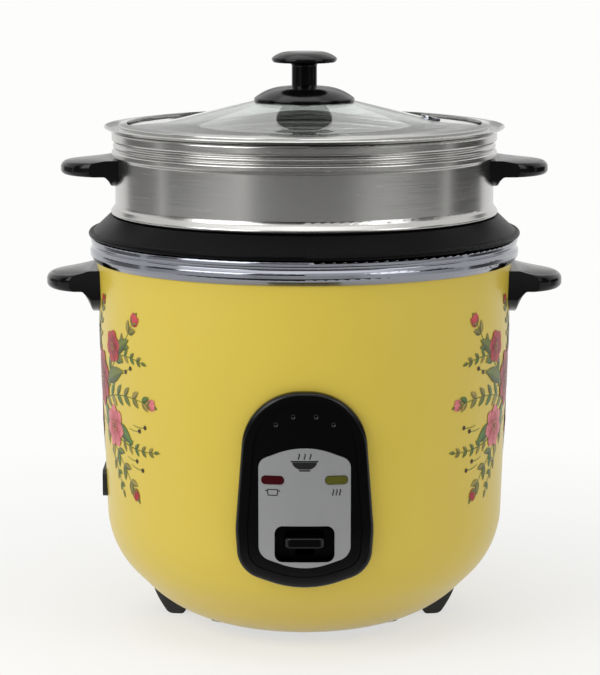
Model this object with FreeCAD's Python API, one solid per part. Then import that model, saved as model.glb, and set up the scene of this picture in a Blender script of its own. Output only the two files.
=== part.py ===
import FreeCAD, Part
import math
import os

# Drum rice cooker with a lift-out pot, a steamer tray and a glass lid.
# Millimetres, +Z up. The floor is z = 0, the cooker's axis is the Z axis, and the control panel faces -Y.

# Fits
SEAT_GAP = 0.1          # between pieces that are fixed to each other
REST_GAP = 0.3          # under a piece that lifts off
HOLE_PLAY = 0.2         # radial play of a screw or rivet in its hole
PIN_PLAY = 0.05         # radial play of the lever on its pin
SLIDE_PLAY = 0.7        # radial play of the heat sensor in the heater plate

# Inner pot
POT_BORE_R = 119.5
POT_WALL = 1.8
POT_DEPTH = 136.0
POT_FLOOR_CORNER = 16.0
POT_RIM_LAND = 6.5      # width of the level rim that carries the steamer
POT_FLANGE_DROP = 12.0  # from the rim's top to the middle of the rolled lip
POT_LIP_R = 1.9

# Heat shield that surrounds the pot
SHIELD_ROOM = 2.0       # air between pot and shield
SHIELD_SHEET = 0.8
SHIELD_CORNER = 18.0
SHIELD_HOLE_R = 32.0

# Outer drum
DRUM_ROOM = 10.1        # air between shield and drum at the top
DRUM_SHEET = 0.8
DRUM_TAPER = 0.0327     # radius lost for each millimetre down
DRUM_CLEARANCE = 3.0    # lowest point of the drum above the floor
BELLY_CORNER_Z = 52.0
BELLY_FLOOR_R = 80.0
BELLY_UPPER_R = 58.0
BELLY_LOWER_R = 82.0
DRUM_MOUTH_R = 62.0
DRUM_HEM = 4.0          # height of drum hidden behind the collar

# Bright collar on top of the drum
COLLAR_BOTTOM_Z = 239.8
COLLAR_HEIGHT = 15.1
COLLAR_SHEET = 0.8
COLLAR_BULGE = 4.2      # how far the bulge stands out from the drum
COLLAR_BEAD = 3.6       # how far the top bead stands out from the drum
COLLAR_GROOVE = 2.4     # the same for the groove between them
COLLAR_RETURN = 6.0     # inner edge turned down

# Bottom plate
PLATE_SHEET = 0.8
PLATE_LAP = 8.0         # overlap of the plate inside the drum's mouth
RING_OUT_R = 41.0       # pressed ring that stands on the floor
RING_IN_R = 30.0
RING_SLOPE = 2.0
PLATE_DISH = 4.6        # height of the plate's middle above the floor
VENT_COUNT = 10
VENT_LENGTH = 18.0
VENT_WIDTH = 3.0
PLATE_SCREW_ANGLES = (30, 150, 210, 330)

# Feet at the sides
FOOT_INSET = 51.0       # middle of the foot's pad inside the drum's top radius
FOOT_SWING = 9.0        # degrees behind the side
FOOT_PAD = 11.0
FOOT_WIDTH = 26.0
FOOT_FLARE = 0.70       # outward lean of the outer wall
FOOT_TOP_Z = 17.0

# Screws and rivets
SCREW_R = 2.0
SCREW_HEAD_R = 3.6
SCREW_HEAD_H = 2.2
SCREW_LENGTH = 9.0
RIVET_R = 2.0
RIVET_HEAD_R = 3.6
RIVET_HEAD_H = 1.2
RIVET_LENGTH = 8.0

# Handles: reach beyond the wall that carries them, then heights above the floor
GRIP_OUT = 33.0
GRIP_TOP_Z = 234.5
GRIP_TIP_TOP_Z = 230.5
GRIP_BOTTOM_Z = 221.0
GRIP_LEG_Z = 205.0
GRIP_LEG_DEPTH = 8.5
GRIP_WIDTH = 60.0
TRAY_GRIP_OUT = 35.4
TRAY_GRIP_RISE = 36.2   # top of the tray's handles above the pot's rim
TRAY_GRIP_TIP_DROP = 2.0
TRAY_GRIP_THICK = 10.5
TRAY_GRIP_LEG = 8.0
TRAY_GRIP_LEG_DEPTH = 5.0
TRAY_GRIP_WIDTH = 60.0
GRIP_BEND_R = 8.0       # between arm and leg
GRIP_SCREW_PITCH = 30.0 # between a handle's two screws or rivets
GRIP_OVAL = 1.06        # width of the plan's oval in handle widths
GRIP_SLICES = (-1.0, -0.85, -0.5, 0.0, 0.5, 0.85, 1.0)

# Steamer tray
TRAY_SHEET = 0.7
TRAY_PLAY = 2.0         # between the tray's lower skirt and the pot
TRAY_SKIRT = 9.5
TRAY_WALL_OUT = 3.1     # wall radius beyond the pot's bore
TRAY_BAND_OUT = 7.7     # resting band beyond the pot's bore
TRAY_BAND_HEIGHT = 6.0
TRAY_BEAD_Z = 36.2      # lower bead above the band's underside
TRAY_ROLL_Z = 46.6      # top roll above the band's underside
TRAY_HEIGHT = 54.2
TRAY_BEAD = 2.0
TRAY_HOLE_R = 3.5
TRAY_HOLE_RADII = (0.0, 27.0, 54.0, 81.0)
TRAY_HOLE_COUNTS = (1, 6, 12, 18)

# Lid
LID_PLAY = 0.7
LID_SHEET = 0.8
LID_FLANGE = 9.6        # flange beyond the lid's channel
LID_FLANGE_LIFT = 1.6
GLASS_THICK = 4.0
GLASS_RISE = 18.0       # crown above the edge
GLASS_CROWN_R = 25.0
GLASS_KNEE_R = 88.0
GLASS_KNEE_LIFT = 2.4
GLASS_GRIP = 5.5        # how far the channel laps over the glass
STEAM_VENT_R = 83.0
STEAM_VENT_ANGLE = 8.0
STEAM_VENT_BORE = 2.5
STEAM_VENT_TUBE = 4.2
STEAM_VENT_FLANGE = 6.5

# Lid knob
KNOB_SKIRT_R = 32.6
KNOB_SKIRT_H = 9.5
KNOB_STEM_R = 8.2
KNOB_STEM_H = 14.6
KNOB_CAP_R = 21.8
KNOB_CAP_H = 7.4
KNOB_CAP_EDGE = 2.8
KNOB_WASHER_R = 15.0
KNOB_WASHER_H = 1.5

# Control panel on the drum
PANEL_RISE = 6.0
PANEL_TOP_Z = 175.1
PANEL_BOTTOM_Z = 52.2
PANEL_WIDE_Z = 88.0
PANEL_HALF_TOP = 35.8
PANEL_HALF_WIDE = 42.6
PANEL_HALF_BOTTOM = 40.8
PANEL_ARCH_R = 36.5
PANEL_BOTTOM_R = 70.0
PANEL_BOTTOM_SLOPE = 17.0
PANEL_BOTTOM_CORNER = 18.0
PANEL_EDGE_R = 3.0
PANEL_WALL = 4.0
PANEL_BORDER = 7.0      # smooth border around the sunk field
PANEL_SINK = 0.8
LABEL_SHEET = 0.8
LABEL_TOP_Z = 140.3
LABEL_BOTTOM_Z = 65.0
LABEL_HALF = 28.2
LABEL_ARC_R = 45.0
LABEL_TOP_SLOPE = 22.0
LABEL_TOP_CORNER = 7.0
LABEL_BOTTOM_SLOPE = 18.0
LABEL_BOTTOM_CORNER = 9.0
LABEL_PLAY = 0.3        # around the plate and the lamps
LABEL_SEAT = 0.3        # under the plate
DIMPLE_PLACES = ((-17.5, 155.0), (-7.0, 160.0), (7.0, 160.0), (17.5, 155.0))
DIMPLE_R = 2.2
DIMPLE_DEPTH = 1.0
LAMP_X = 19.5
LAMP_Z = 120.3
LAMP_WIDTH = 13.4
LAMP_HEIGHT = 5.0
LAMP_PROUD = 0.5
LAMP_FLANGE = 1.3
LAMP_BULB_R = 2.2
SWITCH_Z = 80.0
SWITCH_WIDTH = 36.8
SWITCH_HEIGHT = 22.9
SWITCH_CORNER = 5.0
SWITCH_WELL = 13.0      # depth of the well behind the panel's face
SWITCH_WELL_WALL = 1.6

# Switch lever and magnet
LEVER_PIVOT_Y = -62.0
LEVER_PIVOT_Z = 81.5
LEVER_SWING = 6.0       # degrees from rest to pressed
LEVER_STRIP = 2.0
LEVER_STRIP_WIDTH = 10.0
LEVER_HUB_R = 5.0
LEVER_PIN_R = 2.0
LEVER_REAR = 8.0        # strip beyond the magnet's rod
TONGUE_PROUD = 3.5      # beyond the panel's face
TONGUE_WIDTH = 25.0
TONGUE_THICK = 6.5
TONGUE_BACK_PLAY = 1.4  # to the back wall of the switch's well
BRACKET_SHEET = 1.5
BRACKET_PLAY = 0.6
FORK_PLAY = 1.2
ROD_R = 2.5
ROD_COLLAR_R = 5.5
ROD_COLLAR_H = 2.0
MAGNET_R = 8.5
MAGNET_H = 5.0
MAGNET_SPARE = 0.8

# Heater and sensor
HEATER_R = 95.0
HEATER_THICK = 14.0
HEATER_EDGE_R = 5.0
HEATER_LEG = 8.0
HEATER_LEG_R = 5.0
HEATER_LEG_PLACE = 82.0
ELEMENT_R = 62.0
ELEMENT_TUBE_R = 4.0
ELEMENT_SUNK = 1.0
ELEMENT_OPEN = 30.0     # degrees left open between the element's ends
ELEMENT_PIN_R = 2.5
ELEMENT_PIN_DROP = 22.0
SENSOR_R = 16.8
SENSOR_TOP = 1.5
SENSOR_WALL = 1.5
SENSOR_SKIRT = 16.0
SENSOR_TRAVEL = 1.5
FERRITE_R = 9.0
FERRITE_H = 5.0
SPRING_R = 12.8
SPRING_WIRE_R = 0.8
SPRING_TURNS = 5
SEAT_R = 40.0
SEAT_SHEET = 1.5

# Small electrical pieces
BLOCK_SIZE = (24.0, 16.0, 12.0)
BLOCK_X = 45.0
FUSE_R = 3.5
FUSE_LENGTH = 16.0
FUSE_X = -55.0
CONTACT_SIZE = (8.0, 20.0, 14.0)

# Power inlet
INLET_DROP = 18.5       # middle of the inlet below the heat shield's floor
INLET_WIDTH = 34.0
INLET_HEIGHT = 17.6
INLET_PROUD = 2.0
INLET_SOCKET_W = 22.0
INLET_SOCKET_H = 13.0
INLET_SOCKET_DEPTH = 18.0
INLET_WALL = 1.8
INLET_PIN_R = 1.6
INLET_PIN_LENGTH = 11.0
INLET_PIN_PLACES = ((-6.0, -2.0), (6.0, -2.0), (0.0, 3.0))

# Radii and heights that follow from the sizes above
POT_OUT_R = POT_BORE_R + POT_WALL
SHIELD_R = POT_OUT_R + SHIELD_ROOM
SHIELD_OUT_R = SHIELD_R + SHIELD_SHEET
DRUM_TOP_R = SHIELD_OUT_R + DRUM_ROOM + DRUM_SHEET
FOOT_PLACE_R = DRUM_TOP_R - FOOT_INSET
COLLAR_TOP_Z = COLLAR_BOTTOM_Z + COLLAR_HEIGHT
POT_LIP_Z = COLLAR_TOP_Z + REST_GAP + POT_LIP_R
POT_LIP_PLACE_R = DRUM_TOP_R + COLLAR_BEAD - 0.4
POT_RIM_Z = POT_LIP_Z + POT_FLANGE_DROP
POT_FLOOR_Z = POT_RIM_Z - POT_DEPTH
HEATER_TOP_Z = POT_FLOOR_Z - REST_GAP
HEATER_Z = HEATER_TOP_Z - HEATER_THICK
SHIELD_FLOOR_Z = HEATER_Z - HEATER_LEG
INLET_Z = SHIELD_FLOOR_Z - INLET_DROP
SEAT_TOP_Z = SHIELD_FLOOR_Z - SHIELD_SHEET - SEAT_GAP
SEAT_Z = SEAT_TOP_Z - SEAT_SHEET
TRAY_Z = POT_RIM_Z + REST_GAP
TRAY_WALL_R = POT_BORE_R + TRAY_WALL_OUT
GRIP_REACH = DRUM_TOP_R + GRIP_OUT
TRAY_GRIP_REACH = TRAY_WALL_R + TRAY_GRIP_OUT
TRAY_SKIRT_R = POT_BORE_R - TRAY_PLAY
TRAY_TOP_Z = TRAY_Z + TRAY_HEIGHT
TRAY_ROLL_R = TRAY_WALL_R + TRAY_BEAD
TRAY_MOUTH_R = TRAY_WALL_R - TRAY_SHEET - 1.0
LID_CHANNEL_R = TRAY_MOUTH_R - LID_PLAY
LID_SEAT_Z = TRAY_TOP_Z + REST_GAP
GLASS_R = LID_CHANNEL_R - LID_SHEET - SEAT_GAP
GLASS_EDGE_Z = LID_SEAT_Z + LID_SHEET + 1.0
GLASS_TOP_Z = GLASS_EDGE_Z + GLASS_RISE
LEVER_SWING_RAD = math.radians(LEVER_SWING)
MAGNET_TRAVEL = -LEVER_PIVOT_Y * LEVER_SWING_RAD
FERRITE_Z = HEATER_TOP_Z - SENSOR_TOP - FERRITE_H
MAGNET_TOP_Z = FERRITE_Z - SENSOR_TRAVEL - MAGNET_TRAVEL - MAGNET_SPARE
MAGNET_Z = MAGNET_TOP_Z - MAGNET_H


def drum_radius(height):
    """Outer radius of the drum's straight wall at a height."""
    return DRUM_TOP_R - DRUM_TAPER * (COLLAR_BOTTOM_Z - height)


def at(point):
    """A section point (radius, height) in the XZ plane."""
    return FreeCAD.Vector(point[0], 0, point[1])


def rounded_corner(before, corner, after, radius):
    """Start, middle and end of the arc that rounds a corner."""
    ax, az = before[0] - corner[0], before[1] - corner[1]
    bx, bz = after[0] - corner[0], after[1] - corner[1]
    a_length, b_length = math.hypot(ax, az), math.hypot(bx, bz)
    ax, az, bx, bz = ax / a_length, az / a_length, bx / b_length, bz / b_length
    half = math.acos(max(-1.0, min(1.0, ax * bx + az * bz))) / 2
    run = radius / math.tan(half)
    wx, wz = ax + bx, az + bz
    w_length = math.hypot(wx, wz)
    reach = radius / math.sin(half) - radius
    start = (corner[0] + ax * run, corner[1] + az * run)
    middle = (corner[0] + wx / w_length * reach, corner[1] + wz / w_length * reach)
    end = (corner[0] + bx * run, corner[1] + bz * run)
    return start, middle, end


def path_edges(points, radii, closed):
    """Lines and arcs through points whose corners have the given radii."""
    count = len(points)
    corners = []
    for i in range(count):
        inner = closed or 0 < i < count - 1
        if inner and radii[i] > 0:
            corners.append(rounded_corner(points[i - 1], points[i], points[(i + 1) % count], radii[i]))
        else:
            corners.append((points[i], None, points[i]))
    edges = []
    for i in range(count):
        start, middle, end = corners[i]
        if middle:
            edges.append(Part.Arc(at(start), at(middle), at(end)).toShape())
        if closed or i < count - 1:
            following = corners[(i + 1) % count][0]
            if math.dist(end, following) > 1e-6:
                edges.append(Part.makeLine(at(end), at(following)))
    return edges


def shifted_path(points, radii, distance, closed=False):
    """The same path moved sideways to its left, with its corner radii."""
    count = len(points)
    normals = []
    for i in range(count if closed else count - 1):
        dx = points[(i + 1) % count][0] - points[i][0]
        dz = points[(i + 1) % count][1] - points[i][1]
        length = math.hypot(dx, dz)
        normals.append((-dz / length, dx / length))
    moved, rounds = [], []
    for i in range(count):
        before = normals[i - 1] if closed or i > 0 else normals[0]
        after = normals[i] if closed or i < count - 1 else normals[-1]
        scale = distance / (1 + before[0] * after[0] + before[1] * after[1])
        moved.append((points[i][0] + (before[0] + after[0]) * scale,
                      points[i][1] + (before[1] + after[1]) * scale))
        turn = before[0] * after[1] - before[1] * after[0]
        grown = radii[i] - distance if turn > 0 else radii[i] + distance
        rounds.append(max(0.0, grown) if radii[i] > 0 else 0.0)
    return moved, rounds


def sheet_section(points, radii, thickness):
    """Face of a bent sheet: a path and its copy one thickness to the left."""
    moved, rounds = shifted_path(points, radii, thickness)
    edges = path_edges(points, radii, False) + path_edges(moved, rounds, False)
    edges.append(Part.makeLine(at(points[0]), at(moved[0])))
    edges.append(Part.makeLine(at(points[-1]), at(moved[-1])))
    return Part.Face(Part.Wire(Part.__sortEdges__(edges)))


def solid_section(points, radii):
    return Part.Face(Part.Wire(path_edges(points, radii, True)))


def turned(face):
    return face.revolve(FreeCAD.Vector(), FreeCAD.Vector(0, 0, 1), 360)


def rod(radius, base, length, axis=(0, 0, 1)):
    return Part.makeCylinder(radius, length, FreeCAD.Vector(*base), FreeCAD.Vector(*axis))


def block(low, high):
    size = [high[i] - low[i] for i in range(3)]
    return Part.makeBox(size[0], size[1], size[2], FreeCAD.Vector(*low))


def spun(shape, degrees):
    copy = shape.copy()
    copy.rotate(FreeCAD.Vector(), FreeCAD.Vector(0, 0, 1), degrees)
    return copy


def mirrored(shape):
    """The same piece on the other side of the YZ plane."""
    return shape.mirror(FreeCAD.Vector(), FreeCAD.Vector(1, 0, 0))


def through_y(outline, near, far):
    """An XZ outline carried along Y."""
    face = solid_section(*outline)
    face.translate(FreeCAD.Vector(0, near, 0))
    return face.extrude(FreeCAD.Vector(0, far - near, 0))


def rounded_box_outline(x, z, width, height, corner):
    points = [(x - width / 2, z - height / 2), (x + width / 2, z - height / 2),
              (x + width / 2, z + height / 2), (x - width / 2, z + height / 2)]
    return points, [corner] * 4


def drum_path():
    points = [(DRUM_MOUTH_R - 30, DRUM_CLEARANCE), (BELLY_FLOOR_R, DRUM_CLEARANCE),
              (drum_radius(BELLY_CORNER_Z), BELLY_CORNER_Z),
              (drum_radius(COLLAR_BOTTOM_Z + DRUM_HEM), COLLAR_BOTTOM_Z + DRUM_HEM)]
    return points, [0, BELLY_LOWER_R, BELLY_UPPER_R, 0]


def drum_envelope(gap):
    """The space that the drum's outside takes up, grown by a gap."""
    moved, rounds = shifted_path(*drum_path(), -gap)
    points = [(0, moved[0][1])] + moved + [(0, moved[-1][1])]
    return turned(solid_section(points, [0] + rounds + [0]))


def wall_cone(offset):
    """The drum's straight wall carried right down and moved out by an offset."""
    low, high = PANEL_BOTTOM_Z - 20, PANEL_TOP_Z + 20
    return Part.makeCone(drum_radius(low) + offset, drum_radius(high) + offset, high - low,
                         FreeCAD.Vector(0, 0, low))


def screw(tip, axis, length, head_r=SCREW_HEAD_R, head_h=SCREW_HEAD_H, shank_r=SCREW_R):
    """A screw or rivet: tip is under the head, the shank runs along axis."""
    start = FreeCAD.Vector(*tip)
    way = FreeCAD.Vector(*axis)
    shank = Part.makeCylinder(shank_r, length, start, way)
    head = Part.makeCylinder(head_r, head_h, start - way * head_h, way)
    return shank.fuse(head).removeSplitter()


def pair_places(bottom, top):
    """Where a handle's two screws or rivets pass its wall, as (y, z)."""
    return [(side * GRIP_SCREW_PITCH / 2, (bottom + top) / 2) for side in (-1, 1)]


def head_place(radius, head_r):
    """Distance from the axis of a flat head that bears on the inside of a round wall."""
    return math.sqrt((radius - SEAT_GAP) ** 2 - (GRIP_SCREW_PITCH / 2 + head_r) ** 2)


def grip_section(y, wall, reach, top, tip_top, bottom, leg, leg_depth, bend):
    """Upright outline of a handle at distance y from its middle: arm, bend and tapered leg."""
    root = wall - 8.0
    thick = tip_top - bottom
    points = [(root, leg), (wall + leg_depth * 0.35, leg), (wall + leg_depth, bottom),
              (reach, bottom), (reach, tip_top), (wall + 4, top), (root, top)]
    radii = [0, 1.2, bend, thick * 0.35, thick * 0.5, 8, 0]
    wire = Part.Wire(path_edges(points, radii, True))
    wire.translate(FreeCAD.Vector(0, y, 0))
    return wire


def grip(wall, reach, top, tip_top, bottom, leg, leg_depth, width):
    """An ear handle on the +X side, before it is fitted to its wall. Its plan is half an oval."""
    sections = []
    half = width / 2
    for share in GRIP_SLICES:
        oval = math.sqrt(1 - (share / GRIP_OVAL) ** 2)
        root = wall + leg_depth
        sections.append(grip_section(share * half, wall, root + (reach - root) * oval, top, tip_top, bottom,
                                     bottom - (bottom - leg) * oval, leg_depth, GRIP_BEND_R * oval))
    return Part.makeLoft(sections, True)


def grip_holes(wall, places, radius, depth):
    return Part.makeCompound([rod(radius, (wall - 12, y, z), depth + 12, (1, 0, 0)) for y, z in places])


def body_grip():
    wall = drum_radius(GRIP_BOTTOM_Z)
    body = grip(wall, GRIP_REACH, GRIP_TOP_Z, GRIP_TIP_TOP_Z, GRIP_BOTTOM_Z, GRIP_LEG_Z,
                GRIP_LEG_DEPTH, GRIP_WIDTH)
    places = pair_places(GRIP_BOTTOM_Z, GRIP_TOP_Z)
    holes = grip_holes(wall, places, SCREW_R + HOLE_PLAY, SCREW_LENGTH)
    return body.cut(drum_envelope(SEAT_GAP)).cut(holes)


def body_grip_screws():
    screws = []
    for y, z in pair_places(GRIP_BOTTOM_Z, GRIP_TOP_Z):
        x = head_place(drum_radius(z - SCREW_HEAD_R) - DRUM_SHEET, SCREW_HEAD_R)
        right = screw((x, y, z), (1, 0, 0), SCREW_LENGTH - 2)
        screws += [right, mirrored(right)]
    return Part.makeCompound(screws)


def tray_grip_levels():
    top = POT_RIM_Z + TRAY_GRIP_RISE
    return top, top - TRAY_GRIP_THICK, top - TRAY_GRIP_THICK - TRAY_GRIP_LEG


def tray_grip():
    top, bottom, leg = tray_grip_levels()
    body = grip(TRAY_WALL_R, TRAY_GRIP_REACH, top, top - TRAY_GRIP_TIP_DROP, bottom, leg,
                TRAY_GRIP_LEG_DEPTH, TRAY_GRIP_WIDTH)
    holes = grip_holes(TRAY_WALL_R, pair_places(bottom, top), RIVET_R + HOLE_PLAY, RIVET_LENGTH)
    wall = rod(TRAY_WALL_R + 2 * SEAT_GAP, (0, 0, leg - 30), top - leg + 60)
    return body.cut(wall).cut(holes)


def tray_rivets():
    top, bottom, leg = tray_grip_levels()
    rivets = []
    for y, z in pair_places(bottom, top):
        x = head_place(TRAY_WALL_R - TRAY_SHEET, RIVET_HEAD_R)
        right = screw((x, y, z), (1, 0, 0), RIVET_LENGTH - 2, RIVET_HEAD_R, RIVET_HEAD_H, RIVET_R)
        rivets += [right, mirrored(right)]
    return Part.makeCompound(rivets)


def plate_screw_place():
    """Radius, height and slope of the drum's belly where the bottom plate is screwed on."""
    radius = DRUM_MOUTH_R + PLATE_LAP / 2
    points = drum_path()[0]
    rise = math.atan2(points[2][1] - points[1][1], points[2][0] - points[1][0])
    start = BELLY_FLOOR_R - BELLY_LOWER_R * math.tan(rise / 2)
    slope = math.asin((radius - start) / BELLY_LOWER_R)
    return radius, DRUM_CLEARANCE + BELLY_LOWER_R * (1 - math.cos(slope)), slope


def plate_screw_line(angle):
    radius, height, slope = plate_screw_place()
    turn = math.radians(angle)
    base = (radius * math.cos(turn), radius * math.sin(turn), height)
    axis = (-math.sin(slope) * math.cos(turn), -math.sin(slope) * math.sin(turn), math.cos(slope))
    return FreeCAD.Vector(*base), FreeCAD.Vector(*axis)


def plate_screw_holes():
    holes = []
    for angle in PLATE_SCREW_ANGLES:
        base, axis = plate_screw_line(angle)
        holes.append(Part.makeCylinder(SCREW_R + HOLE_PLAY, 12, base - axis * 5, axis))
    return Part.makeCompound(holes)


def plate_screws():
    screws = []
    for angle in PLATE_SCREW_ANGLES:
        base, axis = plate_screw_line(angle)
        tip = base - axis * (SEAT_GAP + 0.1)
        screws.append(screw(tip, axis, 6.0, SCREW_HEAD_R, 1.4))
    return Part.makeCompound(screws)


def foot_screw_tip():
    return FOOT_PLACE_R, 0, 6.0


def foot_screw_hole():
    x, y, z = foot_screw_tip()
    return spun(rod(SCREW_R + HOLE_PLAY, (x, y, z - 2), 40), FOOT_SWING)


def bowed_edge(radius, slope, half):
    """How far a bowed edge's corners and the meeting point of its slopes lie from its middle."""
    lean = math.radians(slope)
    peak = radius * (1 / math.cos(lean) - 1)
    return half * math.tan(lean) - peak, peak


def panel_outline(shrink=0.0):
    corner, peak = bowed_edge(PANEL_BOTTOM_R, PANEL_BOTTOM_SLOPE, PANEL_HALF_BOTTOM)
    right = [(PANEL_HALF_BOTTOM, PANEL_BOTTOM_Z + corner), (PANEL_HALF_WIDE, PANEL_WIDE_Z),
             (PANEL_HALF_TOP, PANEL_TOP_Z)]
    left = [(-x, z) for x, z in reversed(right)]
    radii = [PANEL_BOTTOM_R, PANEL_BOTTOM_CORNER, 60, PANEL_ARCH_R, PANEL_ARCH_R, 60, PANEL_BOTTOM_CORNER]
    return shifted_path([(0, PANEL_BOTTOM_Z - peak)] + right + left, radii, shrink, True)


def label_outline(shrink=0.0):
    low, low_peak = bowed_edge(LABEL_ARC_R, LABEL_BOTTOM_SLOPE, LABEL_HALF)
    high, high_peak = bowed_edge(LABEL_ARC_R, LABEL_TOP_SLOPE, LABEL_HALF)
    points = [(0, LABEL_BOTTOM_Z - low_peak), (LABEL_HALF, LABEL_BOTTOM_Z + low),
              (LABEL_HALF, LABEL_TOP_Z - high), (0, LABEL_TOP_Z + high_peak),
              (-LABEL_HALF, LABEL_TOP_Z - high), (-LABEL_HALF, LABEL_BOTTOM_Z + low)]
    radii = [LABEL_ARC_R, LABEL_BOTTOM_CORNER, LABEL_TOP_CORNER, LABEL_ARC_R, LABEL_TOP_CORNER,
             LABEL_BOTTOM_CORNER]
    return shifted_path(points, radii, shrink, True)


def lamp_outline(side, grow=0.0):
    height = LAMP_HEIGHT + 2 * grow
    return rounded_box_outline(side * LAMP_X, LAMP_Z, LAMP_WIDTH + 2 * grow, height, height * 0.45)


def switch_outline(grow=0.0):
    return rounded_box_outline(0, SWITCH_Z, SWITCH_WIDTH + 2 * grow, SWITCH_HEIGHT + 2 * grow,
                               SWITCH_CORNER + grow)


def front_prism(outline):
    """An outline carried from behind the drum's wall to well in front of it."""
    return through_y(outline, -DRUM_TOP_R + 50, -DRUM_TOP_R - 50)


def outer_drum():
    points, radii = drum_path()
    drum = turned(sheet_section(points, radii, DRUM_SHEET))
    drum = drum.cut(rod(DRUM_MOUTH_R, (0, 0, DRUM_CLEARANCE - 10), 40))
    window = switch_outline(SWITCH_WELL_WALL + 1.0)
    drum = drum.cut(front_prism(window))
    for side in (-1, 1):
        drum = drum.cut(front_prism(lamp_outline(side, LAMP_FLANGE + 1.2)))
    drum = drum.cut(inlet_core(SEAT_GAP))
    holes = []
    for y, z in pair_places(GRIP_BOTTOM_Z, GRIP_TOP_Z):
        holes.append(rod(SCREW_R + HOLE_PLAY, (-DRUM_TOP_R - 10, y, z), 2 * DRUM_TOP_R + 20, (1, 0, 0)))
    foot_hole = foot_screw_hole()
    holes += [foot_hole, mirrored(foot_hole), plate_screw_holes()]
    return drum.cut(Part.makeCompound(holes))


def rim_collar():
    top = COLLAR_TOP_Z
    bore = SHIELD_OUT_R + SEAT_GAP
    skirt = DRUM_TOP_R + DRUM_TAPER * DRUM_HEM + SEAT_GAP + COLLAR_SHEET
    points = [(skirt, COLLAR_BOTTOM_Z), (DRUM_TOP_R + COLLAR_BULGE, COLLAR_BOTTOM_Z + 3.4),
              (DRUM_TOP_R + COLLAR_BULGE, COLLAR_BOTTOM_Z + 7.4),
              (DRUM_TOP_R + COLLAR_GROOVE, COLLAR_BOTTOM_Z + 9.6),
              (DRUM_TOP_R + COLLAR_BEAD, COLLAR_BOTTOM_Z + 11.6),
              (DRUM_TOP_R + COLLAR_BEAD, top), (bore, top), (bore, top - COLLAR_RETURN)]
    return turned(sheet_section(points, [0, 3.0, 2.2, 1.0, 1.4, 1.6, 1.6, 0], COLLAR_SHEET))


def heat_shield():
    """Cup around the pot, with its floor under the heater."""
    points = [(SHIELD_HOLE_R, SHIELD_FLOOR_Z), (SHIELD_R, SHIELD_FLOOR_Z),
              (SHIELD_R, COLLAR_TOP_Z - 0.4)]
    shield = turned(sheet_section(points, [0, SHIELD_CORNER, 0], -SHIELD_SHEET))
    holes = heater_screw_places(SCREW_R + HOLE_PLAY, SHIELD_FLOOR_Z - 10, 30)
    pins = element_pin_places(ELEMENT_PIN_R + 2.0, SHIELD_FLOOR_Z - 10, 20)
    return shield.cut(Part.makeCompound(holes + pins))


def inner_pot():
    floor = POT_FLOOR_Z + POT_WALL
    land = POT_BORE_R + POT_RIM_LAND
    points = [(0, floor), (POT_BORE_R, floor), (POT_BORE_R, POT_RIM_Z), (land, POT_RIM_Z),
              (POT_LIP_PLACE_R, POT_LIP_Z + 0.6)]
    pot = turned(sheet_section(points, [0, POT_FLOOR_CORNER, 2.4, 4.0, 0], -POT_WALL))
    lip = Part.makeTorus(POT_LIP_PLACE_R, POT_LIP_R, FreeCAD.Vector(0, 0, POT_LIP_Z))
    return pot.fuse(lip).removeSplitter()


def steamer_tray():
    z, wall, roll = TRAY_Z, TRAY_WALL_R, TRAY_ROLL_R
    bead, top = z + TRAY_BEAD_Z, z + TRAY_HEIGHT
    rolled = z + TRAY_ROLL_Z
    points = [(0, z - TRAY_SKIRT), (TRAY_SKIRT_R, z - TRAY_SKIRT), (TRAY_SKIRT_R, z),
              (POT_BORE_R + TRAY_BAND_OUT, z), (wall, z + TRAY_BAND_HEIGHT), (wall, bead),
              (wall + TRAY_BEAD, bead + 1.4), (wall + TRAY_BEAD, bead + 4.6), (wall, bead + 6.0),
              (wall + TRAY_BEAD * 0.6, bead + 7.4), (wall + TRAY_BEAD * 0.6, bead + 8.8),
              (wall, rolled - 0.2), (roll, rolled + 1.4), (roll, top), (TRAY_MOUTH_R, top)]
    radii = [0, 6.0, 1.4, 1.7, 5.0, 0.8, 1.0, 1.0, 0.5, 0.8, 0.8, 0.5, 1.2, 2.2, 0]
    tray = turned(sheet_section(points, radii, TRAY_SHEET))
    holes = []
    for radius, count in zip(TRAY_HOLE_RADII, TRAY_HOLE_COUNTS):
        for i in range(count):
            hole = rod(TRAY_HOLE_R, (radius, 0, z - TRAY_SKIRT - 5), 10)
            holes.append(spun(hole, 360.0 * i / count))
    for y, height in pair_places(tray_grip_levels()[1], tray_grip_levels()[0]):
        holes.append(rod(RIVET_R + HOLE_PLAY, (-wall - 10, y, height), 2 * wall + 20, (1, 0, 0)))
    return tray.cut(Part.makeCompound(holes))


def lid_rim():
    """Steel channel around the glass, with the flange that rests on the tray."""
    r, z, s = LID_CHANNEL_R, LID_SEAT_Z, LID_SHEET
    low = GLASS_EDGE_Z - GLASS_THICK - SEAT_GAP
    high = GLASS_EDGE_Z + SEAT_GAP
    inner = r - s
    tip = r + LID_FLANGE
    lift = LID_FLANGE_LIFT
    lap = r - GLASS_GRIP
    points = [(lap, low - s), (r, low - s), (r, z), (tip - 3, z), (tip, z + lift), (tip - 0.8, z + lift + s),
              (tip - 3.6, z + s), (r, z + s), (r, high + s + 0.5), (lap, high + s + 1.4), (lap, high + 1.2),
              (inner, high + 0.5), (inner, low), (lap, low)]
    radii = [0, 0.6, 0.3, 1.5, 0.3, 0.3, 1.5, 0.3, 0.6, 0.2, 0.2, 0, 0, 0]
    return turned(solid_section(points, radii))


def glass_path():
    points = [(0, GLASS_TOP_Z), (GLASS_CROWN_R, GLASS_TOP_Z),
              (GLASS_KNEE_R, GLASS_EDGE_Z + GLASS_KNEE_LIFT), (GLASS_R, GLASS_EDGE_Z)]
    return points, [0, 60, 70, 0]


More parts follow.
